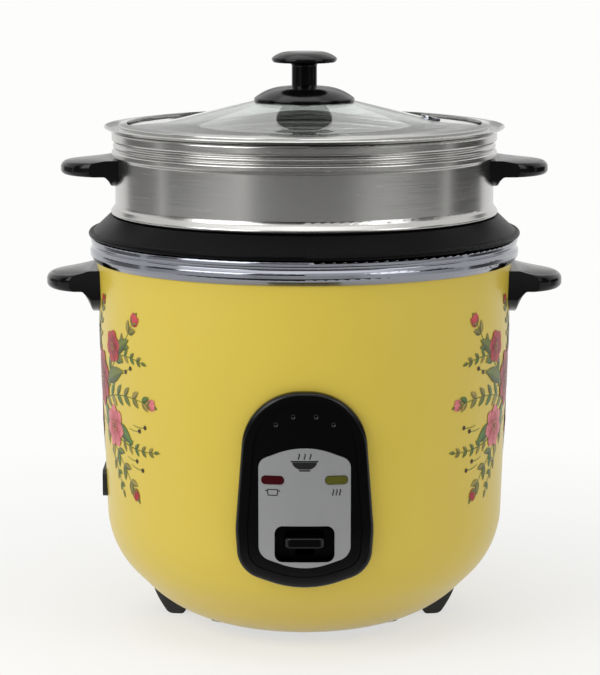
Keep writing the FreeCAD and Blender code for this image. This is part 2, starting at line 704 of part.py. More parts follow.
def glass_height(radius):
    """Height of the glass's straight flank, and its slope."""
    points = glass_path()[0]
    fall = (points[1][1] - points[2][1]) / (points[2][0] - points[1][0])
    return points[1][1] - fall * (radius - points[1][0]), math.atan(fall)


def steam_vent_axis():
    height, slope = glass_height(STEAM_VENT_R)
    turn = math.radians(STEAM_VENT_ANGLE)
    base = FreeCAD.Vector(STEAM_VENT_R * math.cos(turn), STEAM_VENT_R * math.sin(turn), height)
    axis = FreeCAD.Vector(math.sin(slope) * math.cos(turn), math.sin(slope) * math.sin(turn), math.cos(slope))
    return base, axis


def lid_glass():
    points, radii = glass_path()
    glass = turned(sheet_section(points, radii, -GLASS_THICK))
    base, axis = steam_vent_axis()
    vent = Part.makeCylinder(STEAM_VENT_TUBE + HOLE_PLAY, 30, base - axis * 15, axis)
    return glass.cut(rod(SCREW_R + 1.0, (0, 0, GLASS_TOP_Z - 20), 40)).cut(vent)


def steam_vent():
    base, axis = steam_vent_axis()
    gap = 0.25
    tube = Part.makeCylinder(STEAM_VENT_TUBE, GLASS_THICK + 2 * gap + 2, base - axis * (GLASS_THICK + gap + 1), axis)
    top = Part.makeCylinder(STEAM_VENT_FLANGE, 1.0, base + axis * gap, axis)
    under = Part.makeCylinder(STEAM_VENT_FLANGE, 1.0, base - axis * (GLASS_THICK + gap + 1), axis)
    bore = Part.makeCylinder(STEAM_VENT_BORE, 30, base - axis * 15, axis)
    return tube.fuse([top, under]).removeSplitter().cut(bore)


def knob_levels():
    skirt = glass_height(KNOB_SKIRT_R)[0] + SEAT_GAP
    stem = skirt + KNOB_SKIRT_H
    cap = stem + KNOB_STEM_H
    return skirt, stem, cap


def knob_skirt():
    """Domed plate that covers the hole in the glass."""
    skirt, stem, cap = knob_levels()
    points = [(SCREW_R + 1.0, GLASS_TOP_Z + SEAT_GAP), (GLASS_CROWN_R, GLASS_TOP_Z + SEAT_GAP),
              (KNOB_SKIRT_R, skirt), (KNOB_SKIRT_R, skirt + 1.6),
              (KNOB_SKIRT_R - 9, stem - 1.4), (KNOB_STEM_R + 1.5, stem), (SCREW_R + 1.0, stem)]
    return turned(solid_section(points, [0, 0, 0, 1.4, 32, 3, 0]))


def lid_knob():
    skirt, stem, cap = knob_levels()
    edge = cap + KNOB_CAP_EDGE
    top = cap + KNOB_CAP_H
    points = [(0, stem + SEAT_GAP), (KNOB_STEM_R, stem + SEAT_GAP), (KNOB_STEM_R, cap),
              (KNOB_CAP_R - 1.8, cap + 0.5), (KNOB_CAP_R, edge), (KNOB_CAP_R * 0.72, top), (0, top)]
    knob = turned(solid_section(points, [0, 0, 2.0, 1.4, 1.6, 17.0, 0]))
    return knob.cut(rod(SCREW_R + HOLE_PLAY, (0, 0, stem - 5), 17))


def knob_washer():
    ring = rod(KNOB_WASHER_R, (0, 0, GLASS_TOP_Z - GLASS_THICK - SEAT_GAP - KNOB_WASHER_H - 0.5), KNOB_WASHER_H)
    return ring.cut(rod(SCREW_R + HOLE_PLAY, (0, 0, GLASS_TOP_Z - 30), 60))


def knob_screw():
    stem = knob_levels()[1]
    tip = GLASS_TOP_Z - GLASS_THICK - 2 * SEAT_GAP - KNOB_WASHER_H - 0.5
    return screw((0, 0, tip), (0, 0, 1), stem + 10 - tip)


def bottom_plate():
    """Dished plate with a pressed ring that stands on the floor."""
    points, radii = drum_path()
    points, radii = shifted_path(points, radii, DRUM_SHEET + SEAT_GAP)
    flat = points[0][1]
    middle = [(0, PLATE_DISH), (RING_IN_R - RING_SLOPE, PLATE_DISH), (RING_IN_R, 0), (RING_OUT_R, 0),
              (RING_OUT_R + RING_SLOPE, flat)]
    plate = turned(sheet_section(middle + points[1:3], [0, 1, 1, 1.5, 1] + [radii[1], 0], PLATE_SHEET))
    plate = plate.common(rod(DRUM_MOUTH_R + PLATE_LAP, (0, 0, -5), 60))
    cuts = [plate_screw_holes()]
    for i in range(VENT_COUNT):
        slot = block((RING_OUT_R + 6, -VENT_WIDTH / 2, -5),
                     (RING_OUT_R + 6 + VENT_LENGTH * 0.6, VENT_WIDTH / 2, 30))
        cuts.append(spun(slot, 360.0 * (i + 0.5) / VENT_COUNT))
    return plate.cut(Part.makeCompound(cuts))


def side_foot():
    inner = FOOT_PLACE_R - FOOT_PAD / 2
    outer = FOOT_PLACE_R + FOOT_PAD / 2
    flare = FOOT_FLARE * FOOT_TOP_Z
    side = [(inner, 0), (outer, 0), (outer + flare, FOOT_TOP_Z), (inner, FOOT_TOP_Z)]
    foot = through_y((side, [2.5, 6.0, 0, 0]), -FOOT_WIDTH / 2, FOOT_WIDTH / 2)
    plan = [(inner - 2, -FOOT_WIDTH / 2), (outer + flare, -FOOT_WIDTH / 2),
            (outer + flare, FOOT_WIDTH / 2), (inner - 2, FOOT_WIDTH / 2)]
    face = Part.Face(Part.Wire(path_edges(plan, [6, 10, 10, 6], True)))
    face.rotate(FreeCAD.Vector(), FreeCAD.Vector(1, 0, 0), -90)
    face.translate(FreeCAD.Vector(0, 0, -5))
    foot = foot.common(face.extrude(FreeCAD.Vector(0, 0, FOOT_TOP_Z + 10)))
    x, y, z = foot_screw_tip()
    recess = rod(SCREW_HEAD_R + 0.4, (x, y, -5), z + 5)
    hole = rod(SCREW_R + HOLE_PLAY, (x, y, z - 2), 40)
    foot = foot.cut(recess).cut(hole)
    return spun(foot, FOOT_SWING).cut(drum_envelope(SEAT_GAP))


def foot_screws():
    x, y, z = foot_screw_tip()
    right = spun(screw((x, y, z - SEAT_GAP), (0, 0, 1), 16.0), FOOT_SWING)
    return Part.makeCompound([right, mirrored(right)])


def control_panel():
    """Egg-shaped cover with a sunk field, a well for the switch and two lamp windows."""
    field = PANEL_RISE - PANEL_SINK
    under_label = field - LABEL_SHEET
    cover = front_prism(panel_outline()).common(wall_cone(PANEL_RISE))
    rim = [e for e in cover.Edges if on_cone(e, PANEL_RISE)]
    cover = cover.makeFillet(PANEL_EDGE_R, rim)
    sunk = front_prism(panel_outline(PANEL_BORDER)).cut(wall_cone(field))
    bed = front_prism(label_outline(-LABEL_PLAY)).cut(wall_cone(under_label))
    cavity = front_prism(panel_outline(PANEL_WALL)).common(wall_cone(PANEL_RISE - PANEL_WALL))
    cover = cover.cut(drum_envelope(SEAT_GAP)).cut(sunk).cut(bed).cut(cavity)
    front = panel_front()
    well_back = front + SWITCH_WELL
    well = through_y(switch_outline(SWITCH_WELL_WALL), well_back, front + PANEL_WALL - 1.0)
    cover = cover.fuse(well).cut(bed)
    cover = cover.cut(through_y(switch_outline(), well_back - SWITCH_WELL_WALL, front - 20))
    half = LEVER_STRIP_WIDTH / 2 + 1.0
    slot_low = SWITCH_Z - SWITCH_HEIGHT / 2 + 2
    cover = cover.cut(block((-half, well_back - 5, slot_low), (half, well_back + 5, LEVER_PIVOT_Z + 3)))
    for side in (-1, 1):
        cover = cover.cut(front_prism(lamp_outline(side, LABEL_PLAY)))
    for x, z in DIMPLE_PLACES:
        face = drum_radius(z) + field
        depth = math.sqrt(face ** 2 - x ** 2)
        ball = Part.makeSphere(DIMPLE_R, FreeCAD.Vector(x, -depth - DIMPLE_R + DIMPLE_DEPTH, z))
        cover = cover.cut(ball)
    return cover.removeSplitter()


def on_cone(edge, offset):
    """Whether an edge lies on the panel's front face."""
    for parameter in (0.25, 0.5, 0.75):
        first, last = edge.ParameterRange
        point = edge.valueAt(first + (last - first) * parameter)
        if abs(math.hypot(point.x, point.y) - drum_radius(point.z) - offset) > 0.01 or point.y > 0:
            return False
    return True


def panel_label():
    """Thin plate in the panel's sunk field, open at the switch and the lamps."""
    field = PANEL_RISE - PANEL_SINK
    label = front_prism(label_outline()).common(wall_cone(field).cut(wall_cone(field - LABEL_SHEET + LABEL_SEAT)))
    label = label.cut(front_prism(switch_outline()))
    for side in (-1, 1):
        label = label.cut(front_prism(lamp_outline(side, LABEL_PLAY)))
    return label


def lamp_lens(side):
    front = PANEL_RISE - PANEL_SINK + LAMP_PROUD
    back = PANEL_RISE - PANEL_WALL - SEAT_GAP
    body = front_prism(lamp_outline(side)).common(wall_cone(front).cut(wall_cone(back - 0.5)))
    flange = front_prism(lamp_outline(side, LAMP_FLANGE)).common(wall_cone(back).cut(wall_cone(back - 1.2)))
    return body.fuse(flange).removeSplitter()


def lamp_bulbs():
    face = drum_radius(LAMP_Z) + PANEL_RISE - PANEL_WALL - 1.4
    bulbs = []
    for side in (-1, 1):
        middle = side * LAMP_X
        outer = abs(middle) + LAMP_WIDTH / 2
        y = -math.sqrt(face ** 2 - outer ** 2) + LAMP_BULB_R + SEAT_GAP
        bulbs.append(rod(LAMP_BULB_R, (middle - LAMP_WIDTH / 2, y, LAMP_Z), LAMP_WIDTH, (1, 0, 0)))
    return Part.makeCompound(bulbs)


def panel_front():
    """Y of the panel's face at the switch's height."""
    return -drum_radius(SWITCH_Z) - PANEL_RISE


def tongue_ends():
    back = panel_front() + SWITCH_WELL - SWITCH_WELL_WALL - TONGUE_BACK_PLAY
    return panel_front() - TONGUE_PROUD, back


def lever_arm():
    """Steel strip with a hub on the pin and a fork round the magnet's rod."""
    z, half = LEVER_PIVOT_Z, LEVER_STRIP_WIDTH / 2
    front = tongue_ends()[0] + 6.0
    strip = block((-half, front, z - LEVER_STRIP / 2), (half, LEVER_REAR, z + LEVER_STRIP / 2))
    hub = rod(LEVER_HUB_R, (-half, LEVER_PIVOT_Y, z), LEVER_STRIP_WIDTH, (1, 0, 0))
    arm = strip.fuse(hub)
    arm = arm.cut(rod(LEVER_PIN_R + PIN_PLAY, (-half - 5, LEVER_PIVOT_Y, z), LEVER_STRIP_WIDTH + 10, (1, 0, 0)))
    slot = ROD_R + 0.6
    gap = rod(slot, (0, 0, z - 10), 20).fuse(block((-slot, 0, z - 10), (slot, LEVER_REAR + 5, z + 10)))
    return arm.cut(gap).removeSplitter()


def switch_tongue():
    """Thumb piece on the lever's front end."""
    front, back = tongue_ends()
    low = LEVER_PIVOT_Z - TONGUE_THICK / 2
    plan = [(-TONGUE_WIDTH / 2, front), (TONGUE_WIDTH / 2, front),
            (TONGUE_WIDTH / 2, back), (-TONGUE_WIDTH / 2, back)]
    face = Part.Face(Part.Wire(path_edges(plan, [5, 5, 1, 1], True)))
    face.rotate(FreeCAD.Vector(), FreeCAD.Vector(1, 0, 0), -90)
    face.translate(FreeCAD.Vector(0, 0, low + TONGUE_THICK))
    tongue = face.extrude(FreeCAD.Vector(0, 0, -TONGUE_THICK))
    tongue = tongue.makeFillet(1.2, [e for e in tongue.Edges if e.BoundBox.YMin < front + 6])
    dish = rod(30, (-TONGUE_WIDTH, (front + back) / 2, low + TONGUE_THICK + 29.2), 2 * TONGUE_WIDTH, (1, 0, 0))
    half, s = LEVER_STRIP_WIDTH / 2 + SEAT_GAP, LEVER_STRIP / 2 + SEAT_GAP
    pocket = block((-half, front + 6 - SEAT_GAP, LEVER_PIVOT_Z - s), (half, back + 5, LEVER_PIVOT_Z + s))
    return tongue.cut(dish).cut(pocket)


def lever_pin():
    half = LEVER_STRIP_WIDTH / 2 + BRACKET_PLAY + BRACKET_SHEET + 1.0
    return rod(LEVER_PIN_R, (-half, LEVER_PIVOT_Y, LEVER_PIVOT_Z), 2 * half, (1, 0, 0))


def switch_bracket():
    """Two cheeks for the pin, hung from the plate under the heat shield."""
    inner = LEVER_STRIP_WIDTH / 2 + BRACKET_PLAY
    outer = inner + BRACKET_SHEET
    top = SEAT_Z - SEAT_GAP
    back = -SEAT_R + 14
    plate = block((-outer, LEVER_PIVOT_Y - 10, top - BRACKET_SHEET), (outer, back, top))
    shape = plate
    for side in (-1, 1):
        low, high = sorted((side * inner, side * outer))
        shape = shape.fuse(block((low, LEVER_PIVOT_Y - 8, LEVER_PIVOT_Z - 8), (high, LEVER_PIVOT_Y + 8, top)))
    bore = rod(LEVER_PIN_R + 0.02, (-outer - 5, LEVER_PIVOT_Y, LEVER_PIVOT_Z), 2 * outer + 10, (1, 0, 0))
    return shape.cut(bore).removeSplitter()


def contact_switch():
    inner = LEVER_STRIP_WIDTH / 2 + BRACKET_PLAY + BRACKET_SHEET + SEAT_GAP
    top = SEAT_Z - SEAT_GAP - 2.0
    width, length, height = CONTACT_SIZE
    low = (inner, LEVER_PIVOT_Y - 8, top - height)
    body = block(low, (inner + width, LEVER_PIVOT_Y - 8 + length, top))
    relief = rod(LEVER_PIN_R + HOLE_PLAY, (0, LEVER_PIVOT_Y, LEVER_PIVOT_Z), inner + 1.5, (1, 0, 0))
    return body.cut(relief)


def magnet():
    return rod(MAGNET_R, (0, 0, MAGNET_Z), MAGNET_H)


def magnet_rod():
    """Rod under the magnet, with two collars round the lever's fork."""
    grip_half = LEVER_STRIP / 2 + FORK_PLAY
    low = LEVER_PIVOT_Z - grip_half - ROD_COLLAR_H
    shaft = rod(ROD_R, (0, 0, low - 2), MAGNET_Z - SEAT_GAP - low + 2)
    lower = rod(ROD_COLLAR_R, (0, 0, low), ROD_COLLAR_H)
    upper = rod(ROD_COLLAR_R, (0, 0, LEVER_PIVOT_Z + grip_half), ROD_COLLAR_H)
    return shaft.fuse([lower, upper]).removeSplitter()


def sensor_cap():
    cup = rod(SENSOR_R, (0, 0, HEATER_TOP_Z - SENSOR_SKIRT), SENSOR_SKIRT)
    return cup.cut(rod(SENSOR_R - SENSOR_WALL, (0, 0, HEATER_TOP_Z - SENSOR_SKIRT - 5), SENSOR_SKIRT + 5 - SENSOR_TOP))


def ferrite():
    return rod(FERRITE_R, (0, 0, FERRITE_Z), FERRITE_H - SEAT_GAP)


def spring_curve(low, high):
    """Quarter-turn arcs along the spring's helix."""
    steps = 4 * SPRING_TURNS
    edges = []
    for i in range(steps):
        three = []
        for part in (0.0, 0.5, 1.0):
            turn = (i + part) * math.pi / 2
            height = low + (high - low) * (i + part) / steps
            three.append(FreeCAD.Vector(SPRING_R * math.cos(turn), SPRING_R * math.sin(turn), height))
        edges.append(Part.Arc(*three).toShape())
    return Part.Wire(edges)


def sensor_spring():
    low = SEAT_TOP_Z + SPRING_WIRE_R + REST_GAP
    high = HEATER_TOP_Z - SENSOR_TOP - SPRING_WIRE_R - REST_GAP
    curve = spring_curve(low, high)
    start = curve.Edges[0]
    circle = Part.Wire(Part.makeCircle(SPRING_WIRE_R, start.valueAt(start.FirstParameter),
                                       start.tangentAt(start.FirstParameter)))
    return curve.makePipeShell([circle], True, False)


def sensor_seat():
    """Plate under the heat shield that carries the spring and guides the rod."""
    return rod(SEAT_R, (0, 0, SEAT_Z), SEAT_SHEET).cut(rod(ROD_R + 0.4, (0, 0, SEAT_Z - 5), 20))


def heater_screw_places(radius, low, length):
    return [spun(rod(radius, (HEATER_LEG_PLACE, 0, low), length), 120 * i + 90) for i in range(3)]


def element_pin_places(radius, low, length):
    half = ELEMENT_OPEN / 2 + 4
    return [spun(rod(radius, (ELEMENT_R, 0, low), length), 90 + side * half) for side in (-1, 1)]


def heater_plate():
    """Cast plate with a groove under it for the heating element."""
    middle_r = SENSOR_R + SLIDE_PLAY
    points = [(middle_r, HEATER_Z), (HEATER_R, HEATER_Z), (HEATER_R, HEATER_TOP_Z), (middle_r, HEATER_TOP_Z)]
    plate = turned(solid_section(points, [0.5, 2.0, HEATER_EDGE_R, 0.8]))
    groove = Part.makeTorus(ELEMENT_R, ELEMENT_TUBE_R + SEAT_GAP, FreeCAD.Vector(0, 0, HEATER_Z + ELEMENT_SUNK))
    tube = ELEMENT_TUBE_R + SEAT_GAP
    lower = rod(ELEMENT_R + tube, (0, 0, HEATER_Z - 5), 5 + ELEMENT_SUNK)
    lower = lower.cut(rod(ELEMENT_R - tube, (0, 0, HEATER_Z - 10), 30))
    holes = heater_screw_places(SCREW_R + HOLE_PLAY, HEATER_Z - 5, 5 + 8)
    return plate.cut(groove).cut(lower).cut(Part.makeCompound(holes))


def heating_element():
    z = HEATER_Z + ELEMENT_SUNK
    circle = Part.makeCircle(ELEMENT_TUBE_R, FreeCAD.Vector(ELEMENT_R, 0, z), FreeCAD.Vector(0, 1, 0))
    tube = Part.Face(Part.Wire(circle))
    ring = tube.revolve(FreeCAD.Vector(), FreeCAD.Vector(0, 0, 1), 360 - ELEMENT_OPEN)
    ring.rotate(FreeCAD.Vector(), FreeCAD.Vector(0, 0, 1), 90 + ELEMENT_OPEN / 2)
    pins = element_pin_places(ELEMENT_PIN_R, z - ELEMENT_PIN_DROP, ELEMENT_PIN_DROP)
    return ring.fuse(pins).removeSplitter()


def heater_legs():
    legs = heater_screw_places(HEATER_LEG_R, SHIELD_FLOOR_Z + SEAT_GAP, HEATER_LEG - 2 * SEAT_GAP)
    bores = heater_screw_places(SCREW_R + HOLE_PLAY, SHIELD_FLOOR_Z - 5, 30)
    return Part.makeCompound([legs[i].cut(bores[i]) for i in range(3)])


def heater_screws():
    tip = SHIELD_FLOOR_Z - SHIELD_SHEET - SEAT_GAP
    one = screw((HEATER_LEG_PLACE, 0, tip), (0, 0, 1), HEATER_LEG + SHIELD_SHEET + 6)
    return Part.makeCompound([spun(one, 120 * i + 90) for i in range(3)])


def terminal_block():
    top = SHIELD_FLOOR_Z - SHIELD_SHEET - SEAT_GAP
    x, y, z = BLOCK_SIZE
    body = block((BLOCK_X, -y / 2, top - z), (BLOCK_X + x, y / 2, top))
    for i in range(3):
        place = BLOCK_X + x * (i + 0.5) / 3
        body = body.cut(rod(2.2, (place, -y, top - z / 2), 2 * y, (0, 1, 0)))
    return body


def thermal_fuse():
    top = SHIELD_FLOOR_Z - SHIELD_SHEET - SEAT_GAP
    return rod(FUSE_R, (FUSE_X, -FUSE_LENGTH / 2, top - FUSE_R), FUSE_LENGTH, (0, 1, 0))


def inlet_core(grow):
    """The inlet's box that passes through the drum's wall, on the -X side."""
    half_y = INLET_SOCKET_W / 2 + INLET_WALL + grow
    half_z = INLET_SOCKET_H / 2 + INLET_WALL + grow
    face = drum_radius(INLET_Z) + INLET_PROUD
    depth = INLET_SOCKET_DEPTH + INLET_WALL
    return block((-face, -half_y, INLET_Z - half_z), (-face + depth, half_y, INLET_Z + half_z))


def power_inlet():
    face = drum_radius(INLET_Z) + INLET_PROUD
    plate_face = solid_section(*rounded_box_outline(0, INLET_Z, INLET_WIDTH, INLET_HEIGHT, 4.0))
    plate = plate_face.extrude(FreeCAD.Vector(0, 8, 0))
    plate.rotate(FreeCAD.Vector(), FreeCAD.Vector(0, 0, 1), -90)
    plate.translate(FreeCAD.Vector(-face, 0, 0))
    body = plate.cut(drum_envelope(SEAT_GAP)).fuse(inlet_core(0)).removeSplitter()
    mouth = block((-face - 5, -INLET_SOCKET_W / 2, INLET_Z - INLET_SOCKET_H / 2),
                  (-face + INLET_SOCKET_DEPTH, INLET_SOCKET_W / 2, INLET_Z + INLET_SOCKET_H / 2))
    body = body.cut(mouth)
    for y, z in INLET_PIN_PLACES:
        body = body.cut(rod(INLET_PIN_R + SEAT_GAP, (-face + 5, y, INLET_Z + z), 40, (1, 0, 0)))
    return body


def inlet_pins():
    face = drum_radius(INLET_Z) + INLET_PROUD
    start = -face + INLET_SOCKET_DEPTH - INLET_PIN_LENGTH
    length = INLET_PIN_LENGTH + INLET_WALL + 6
    return Part.makeCompound([rod(INLET_PIN_R, (start, y, INLET_Z + z), length, (1, 0, 0))
                              for y, z in INLET_PIN_PLACES])


def all_pieces():
    right_grip, right_tray_grip, right_foot = body_grip(), tray_grip(), side_foot()
    return {
        "outer_drum": outer_drum(),
        "rim_collar": rim_collar(),
        "heat_shield": heat_shield(),
        "bottom_plate": bottom_plate(),
        "bottom_screws": plate_screws(),
        "foot_right": right_foot,
        "foot_left": mirrored(right_foot),
        "foot_screws": foot_screws(),
        "body_handle_right": right_grip,
        "body_handle_left": mirrored(right_grip),
        "body_handle_screws": body_grip_screws(),
        "control_panel": control_panel(),
        "panel_label": panel_label(),
        "cook_lamp_lens": lamp_lens(-1),
        "warm_lamp_lens": lamp_lens(1),
        "lamp_bulbs": lamp_bulbs(),
        "power_inlet": power_inlet(),
        "inlet_pins": inlet_pins(),
        "heater_plate": heater_plate(),
        "heating_element": heating_element(),
        "heater_legs": heater_legs(),
        "heater_screws": heater_screws(),
        "sensor_seat": sensor_seat(),
        "switch_bracket": switch_bracket(),
        "lever_pin": lever_pin(),
        "contact_switch": contact_switch(),
        "terminal_block": terminal_block(),
        "thermal_fuse": thermal_fuse(),
        "sensor_cap": sensor_cap(),
        "sensor_ferrite": ferrite(),
        "sensor_spring": sensor_spring(),
        "magnet": magnet(),
        "magnet_rod": magnet_rod(),
        "lever_arm": lever_arm(),
        "switch_tongue": switch_tongue(),
        "inner_pot": inner_pot(),
        "steamer_tray": steamer_tray(),
        "steamer_handle_right": right_tray_grip,
        "steamer_handle_left": mirrored(right_tray_grip),
        "steamer_rivets": tray_rivets(),
        "lid_rim": lid_rim(),
        "lid_glass": lid_glass(),
        "steam_vent": steam_vent(),
        "knob_skirt": knob_skirt(),
        "lid_knob": lid_knob(),
        "knob_washer": knob_washer(),
        "knob_screw": knob_screw(),
    }


def main():
    os.makedirs("parts", exist_ok=True)
    for name, shape in all_pieces().items():
        shape.exportStep("parts/" + name + ".step")


main()
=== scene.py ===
import math
import random

import bpy
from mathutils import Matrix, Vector
from mathutils.bvhtree import BVHTree


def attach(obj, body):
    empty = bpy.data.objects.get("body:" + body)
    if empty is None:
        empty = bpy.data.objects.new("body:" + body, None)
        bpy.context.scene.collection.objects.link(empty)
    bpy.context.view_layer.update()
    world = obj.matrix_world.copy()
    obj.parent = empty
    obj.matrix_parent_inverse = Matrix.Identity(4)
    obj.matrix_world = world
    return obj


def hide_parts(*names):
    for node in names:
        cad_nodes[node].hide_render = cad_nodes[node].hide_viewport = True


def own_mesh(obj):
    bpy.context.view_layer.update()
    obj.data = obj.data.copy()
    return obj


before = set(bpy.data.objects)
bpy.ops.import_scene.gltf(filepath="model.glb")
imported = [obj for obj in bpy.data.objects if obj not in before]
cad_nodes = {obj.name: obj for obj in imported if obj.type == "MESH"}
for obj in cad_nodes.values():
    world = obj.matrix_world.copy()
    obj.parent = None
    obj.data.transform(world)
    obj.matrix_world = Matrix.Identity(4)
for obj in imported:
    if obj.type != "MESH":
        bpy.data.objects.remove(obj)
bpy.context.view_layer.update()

MM = 0.001


def paint(code):
    """Linear colour of a hex code."""
    parts = [int(code[i:i + 2], 16) / 255 for i in (0, 2, 4)]
    return [c / 12.92 if c <= 0.04045 else ((c + 0.055) / 1.055) ** 2.4 for c in parts] + [1.0]


# Shared surface effects

def effect(name, inputs, outputs):
    tree = bpy.data.node_groups.new(name, "ShaderNodeTree")
    for label, kind, value in inputs:
        socket = tree.interface.new_socket(label, in_out="INPUT", socket_type=kind)
        if value is not None:
            socket.default_value = value
    for label, kind in outputs:
        tree.interface.new_socket(label, in_out="OUTPUT", socket_type=kind)
    return tree, tree.nodes.new("NodeGroupInput"), tree.nodes.new("NodeGroupOutput")


def add(tree, kind, inputs=None, **settings):
    """A node with its settings. An input is a value or another node's socket."""
    node = tree.nodes.new(kind)
    for key, value in settings.items():
        setattr(node, key, value)
    for key, value in (inputs or {}).items():
        if isinstance(value, bpy.types.NodeSocket):
            tree.links.new(value, node.inputs[key])
        else:
            node.inputs[key].default_value = value
    return node


def math_node(tree, operation, first, second=0.0, third=None):
    values = {0: first, 1: second}
    if third is not None:
        values[2] = third
    return add(tree, "ShaderNodeMath", values, operation=operation).outputs[0]


FLOAT, COLOR = "NodeSocketFloat", "NodeSocketColor"


def make_cloudy_finish():
    """Slow change of colour and gloss over a moulded, painted or cast surface."""
    tree, given, result = effect(
        "cloudy_finish",
        [("Color", COLOR, None), ("Scale", FLOAT, 20.0), ("Color Change", FLOAT, 0.05),
         ("Roughness", FLOAT, 0.3), ("Roughness Change", FLOAT, 0.1), ("Grain", FLOAT, 600.0)],
        [("Color", COLOR), ("Roughness", FLOAT), ("Height", FLOAT)])
    place = add(tree, "ShaderNodeTexCoord")
    cloud = add(tree, "ShaderNodeTexNoise",
                {"Vector": place.outputs["Object"], "Scale": given.outputs["Scale"], "Detail": 5.0,
                 "Roughness": 0.6})
    level = math_node(tree, "SUBTRACT", cloud.outputs["Fac"], 0.5)
    value = math_node(tree, "MULTIPLY_ADD", level, given.outputs["Color Change"], 1.0)
    shade = add(tree, "ShaderNodeHueSaturation", {"Color": given.outputs["Color"], "Value": value})
    finer = math_node(tree, "MULTIPLY", given.outputs["Scale"], 3.1)
    smear = add(tree, "ShaderNodeTexNoise",
                {"Vector": place.outputs["Object"], "Scale": finer, "Detail": 6.0, "Distortion": 0.4})
    rub = math_node(tree, "SUBTRACT", smear.outputs["Fac"], 0.5)
    rough = math_node(tree, "MULTIPLY_ADD", rub, given.outputs["Roughness Change"],
                      given.outputs["Roughness"])
    grain = add(tree, "ShaderNodeTexNoise",
                {"Vector": place.outputs["Object"], "Scale": given.outputs["Grain"], "Detail": 3.0})
    tree.links.new(shade.outputs["Color"], result.inputs["Color"])
    tree.links.new(rough, result.inputs["Roughness"])
    tree.links.new(grain.outputs["Fac"], result.inputs["Height"])
    return tree


def make_turned_grain():
    """Fine lines around the cooker's axis, left by spinning and polishing."""
    tree, given, result = effect(
        "turned_grain",
        [("Around", FLOAT, 3.0), ("Across", FLOAT, 900.0), ("Roughness", FLOAT, 0.25),
         ("Roughness Change", FLOAT, 0.12), ("Color", COLOR, None), ("Color Change", FLOAT, 0.1)],
        [("Color", COLOR), ("Roughness", FLOAT), ("Height", FLOAT)])
    place = add(tree, "ShaderNodeTexCoord")
    axes = add(tree, "ShaderNodeSeparateXYZ", {"Vector": place.outputs["Object"]})
    x, y, z = (axes.outputs[i] for i in range(3))
    turn = math_node(tree, "ARCTAN2", y, x)
    squares = math_node(tree, "MULTIPLY_ADD", x, x, math_node(tree, "MULTIPLY", y, y))
    radius = math_node(tree, "SQRT", squares)
    sine = math_node(tree, "MULTIPLY", math_node(tree, "SINE", turn), given.outputs["Around"])
    cosine = math_node(tree, "MULTIPLY", math_node(tree, "COSINE", turn), given.outputs["Around"])
    sloped = math_node(tree, "ADD", z, math_node(tree, "MULTIPLY", radius, 0.83))
    rise = math_node(tree, "MULTIPLY", sloped, given.outputs["Across"])
    spot = add(tree, "ShaderNodeCombineXYZ", {"X": sine, "Y": cosine, "Z": rise})
    lines = add(tree, "ShaderNodeTexNoise",
                {"Vector": spot.outputs[0], "Scale": 1.0, "Detail": 4.0, "Roughness": 0.65})
    level = math_node(tree, "SUBTRACT", lines.outputs["Fac"], 0.5)
    value = math_node(tree, "MULTIPLY_ADD", level, given.outputs["Color Change"], 1.0)
    shade = add(tree, "ShaderNodeHueSaturation", {"Color": given.outputs["Color"], "Value": value})
    rough = math_node(tree, "MULTIPLY_ADD", level, given.outputs["Roughness Change"],
                      given.outputs["Roughness"])
    tree.links.new(shade.outputs["Color"], result.inputs["Color"])
    tree.links.new(rough, result.inputs["Roughness"])
    tree.links.new(lines.outputs["Fac"], result.inputs["Height"])
    return tree


def make_speckle():
    """Small lighter specks, as in a sprayed coating."""
    tree, given, result = effect(
        "coating_speckle",
        [("Color", COLOR, None), ("Speck", COLOR, None), ("Scale", FLOAT, 900.0), ("Share", FLOAT, 0.14)],
        [("Color", COLOR), ("Height", FLOAT)])
    place = add(tree, "ShaderNodeTexCoord")
    cells = add(tree, "ShaderNodeTexVoronoi",
                {"Vector": place.outputs["Object"], "Scale": given.outputs["Scale"]})
    mask = add(tree, "ShaderNodeMapRange",
               {"Value": cells.outputs["Distance"], "From Min": given.outputs["Share"], "From Max": 0.02,
                "To Min": 0.0, "To Max": 1.0})
    mix = add(tree, "ShaderNodeMix", data_type="RGBA")
    tree.links.new(mask.outputs["Result"], mix.inputs["Factor"])
    tree.links.new(given.outputs["Color"], mix.inputs[6])
    tree.links.new(given.outputs["Speck"], mix.inputs[7])
    tree.links.new(mix.outputs[2], result.inputs["Color"])
    tree.links.new(cells.outputs["Distance"], result.inputs["Height"])
    return tree


def make_lamp_ribs():
    """Upright ribs that spread a lamp's light."""
    tree, given, result = effect("lamp_ribs", [("Count", FLOAT, 330.0)], [("Height", FLOAT)])
    place = add(tree, "ShaderNodeTexCoord")
    ribs = add(tree, "ShaderNodeTexWave",
               {"Vector": place.outputs["Object"], "Scale": given.outputs["Count"], "Distortion": 0.0},
               bands_direction="X")
    tree.links.new(ribs.outputs["Fac"], result.inputs["Height"])
    return tree


CLOUDY = make_cloudy_finish()
TURNED = make_turned_grain()
SPECKLE = make_speckle()
RIBS = make_lamp_ribs()


# Materials

SPIN_DEPTH = 0.00004    # depth of the lines left by spinning, in metres


def material(name, metallic=0.0, **sockets):
    mat = bpy.data.materials.new(name)
    mat.use_nodes = True
    shader = mat.node_tree.nodes["Principled BSDF"]
    shader.inputs["Metallic"].default_value = metallic
    for key, value in sockets.items():
        shader.inputs[key.replace("_", " ")].default_value = value
    return mat, mat.node_tree, shader


def place_effect(tree, group, values):
    return add(tree, "ShaderNodeGroup", values, node_tree=group)


def coat(tree, shader, finish):
    """Gives the shader an effect's colour and gloss."""
    tree.links.new(finish.outputs["Color"], shader.inputs["Base Color"])
    tree.links.new(finish.outputs["Roughness"], shader.inputs["Roughness"])


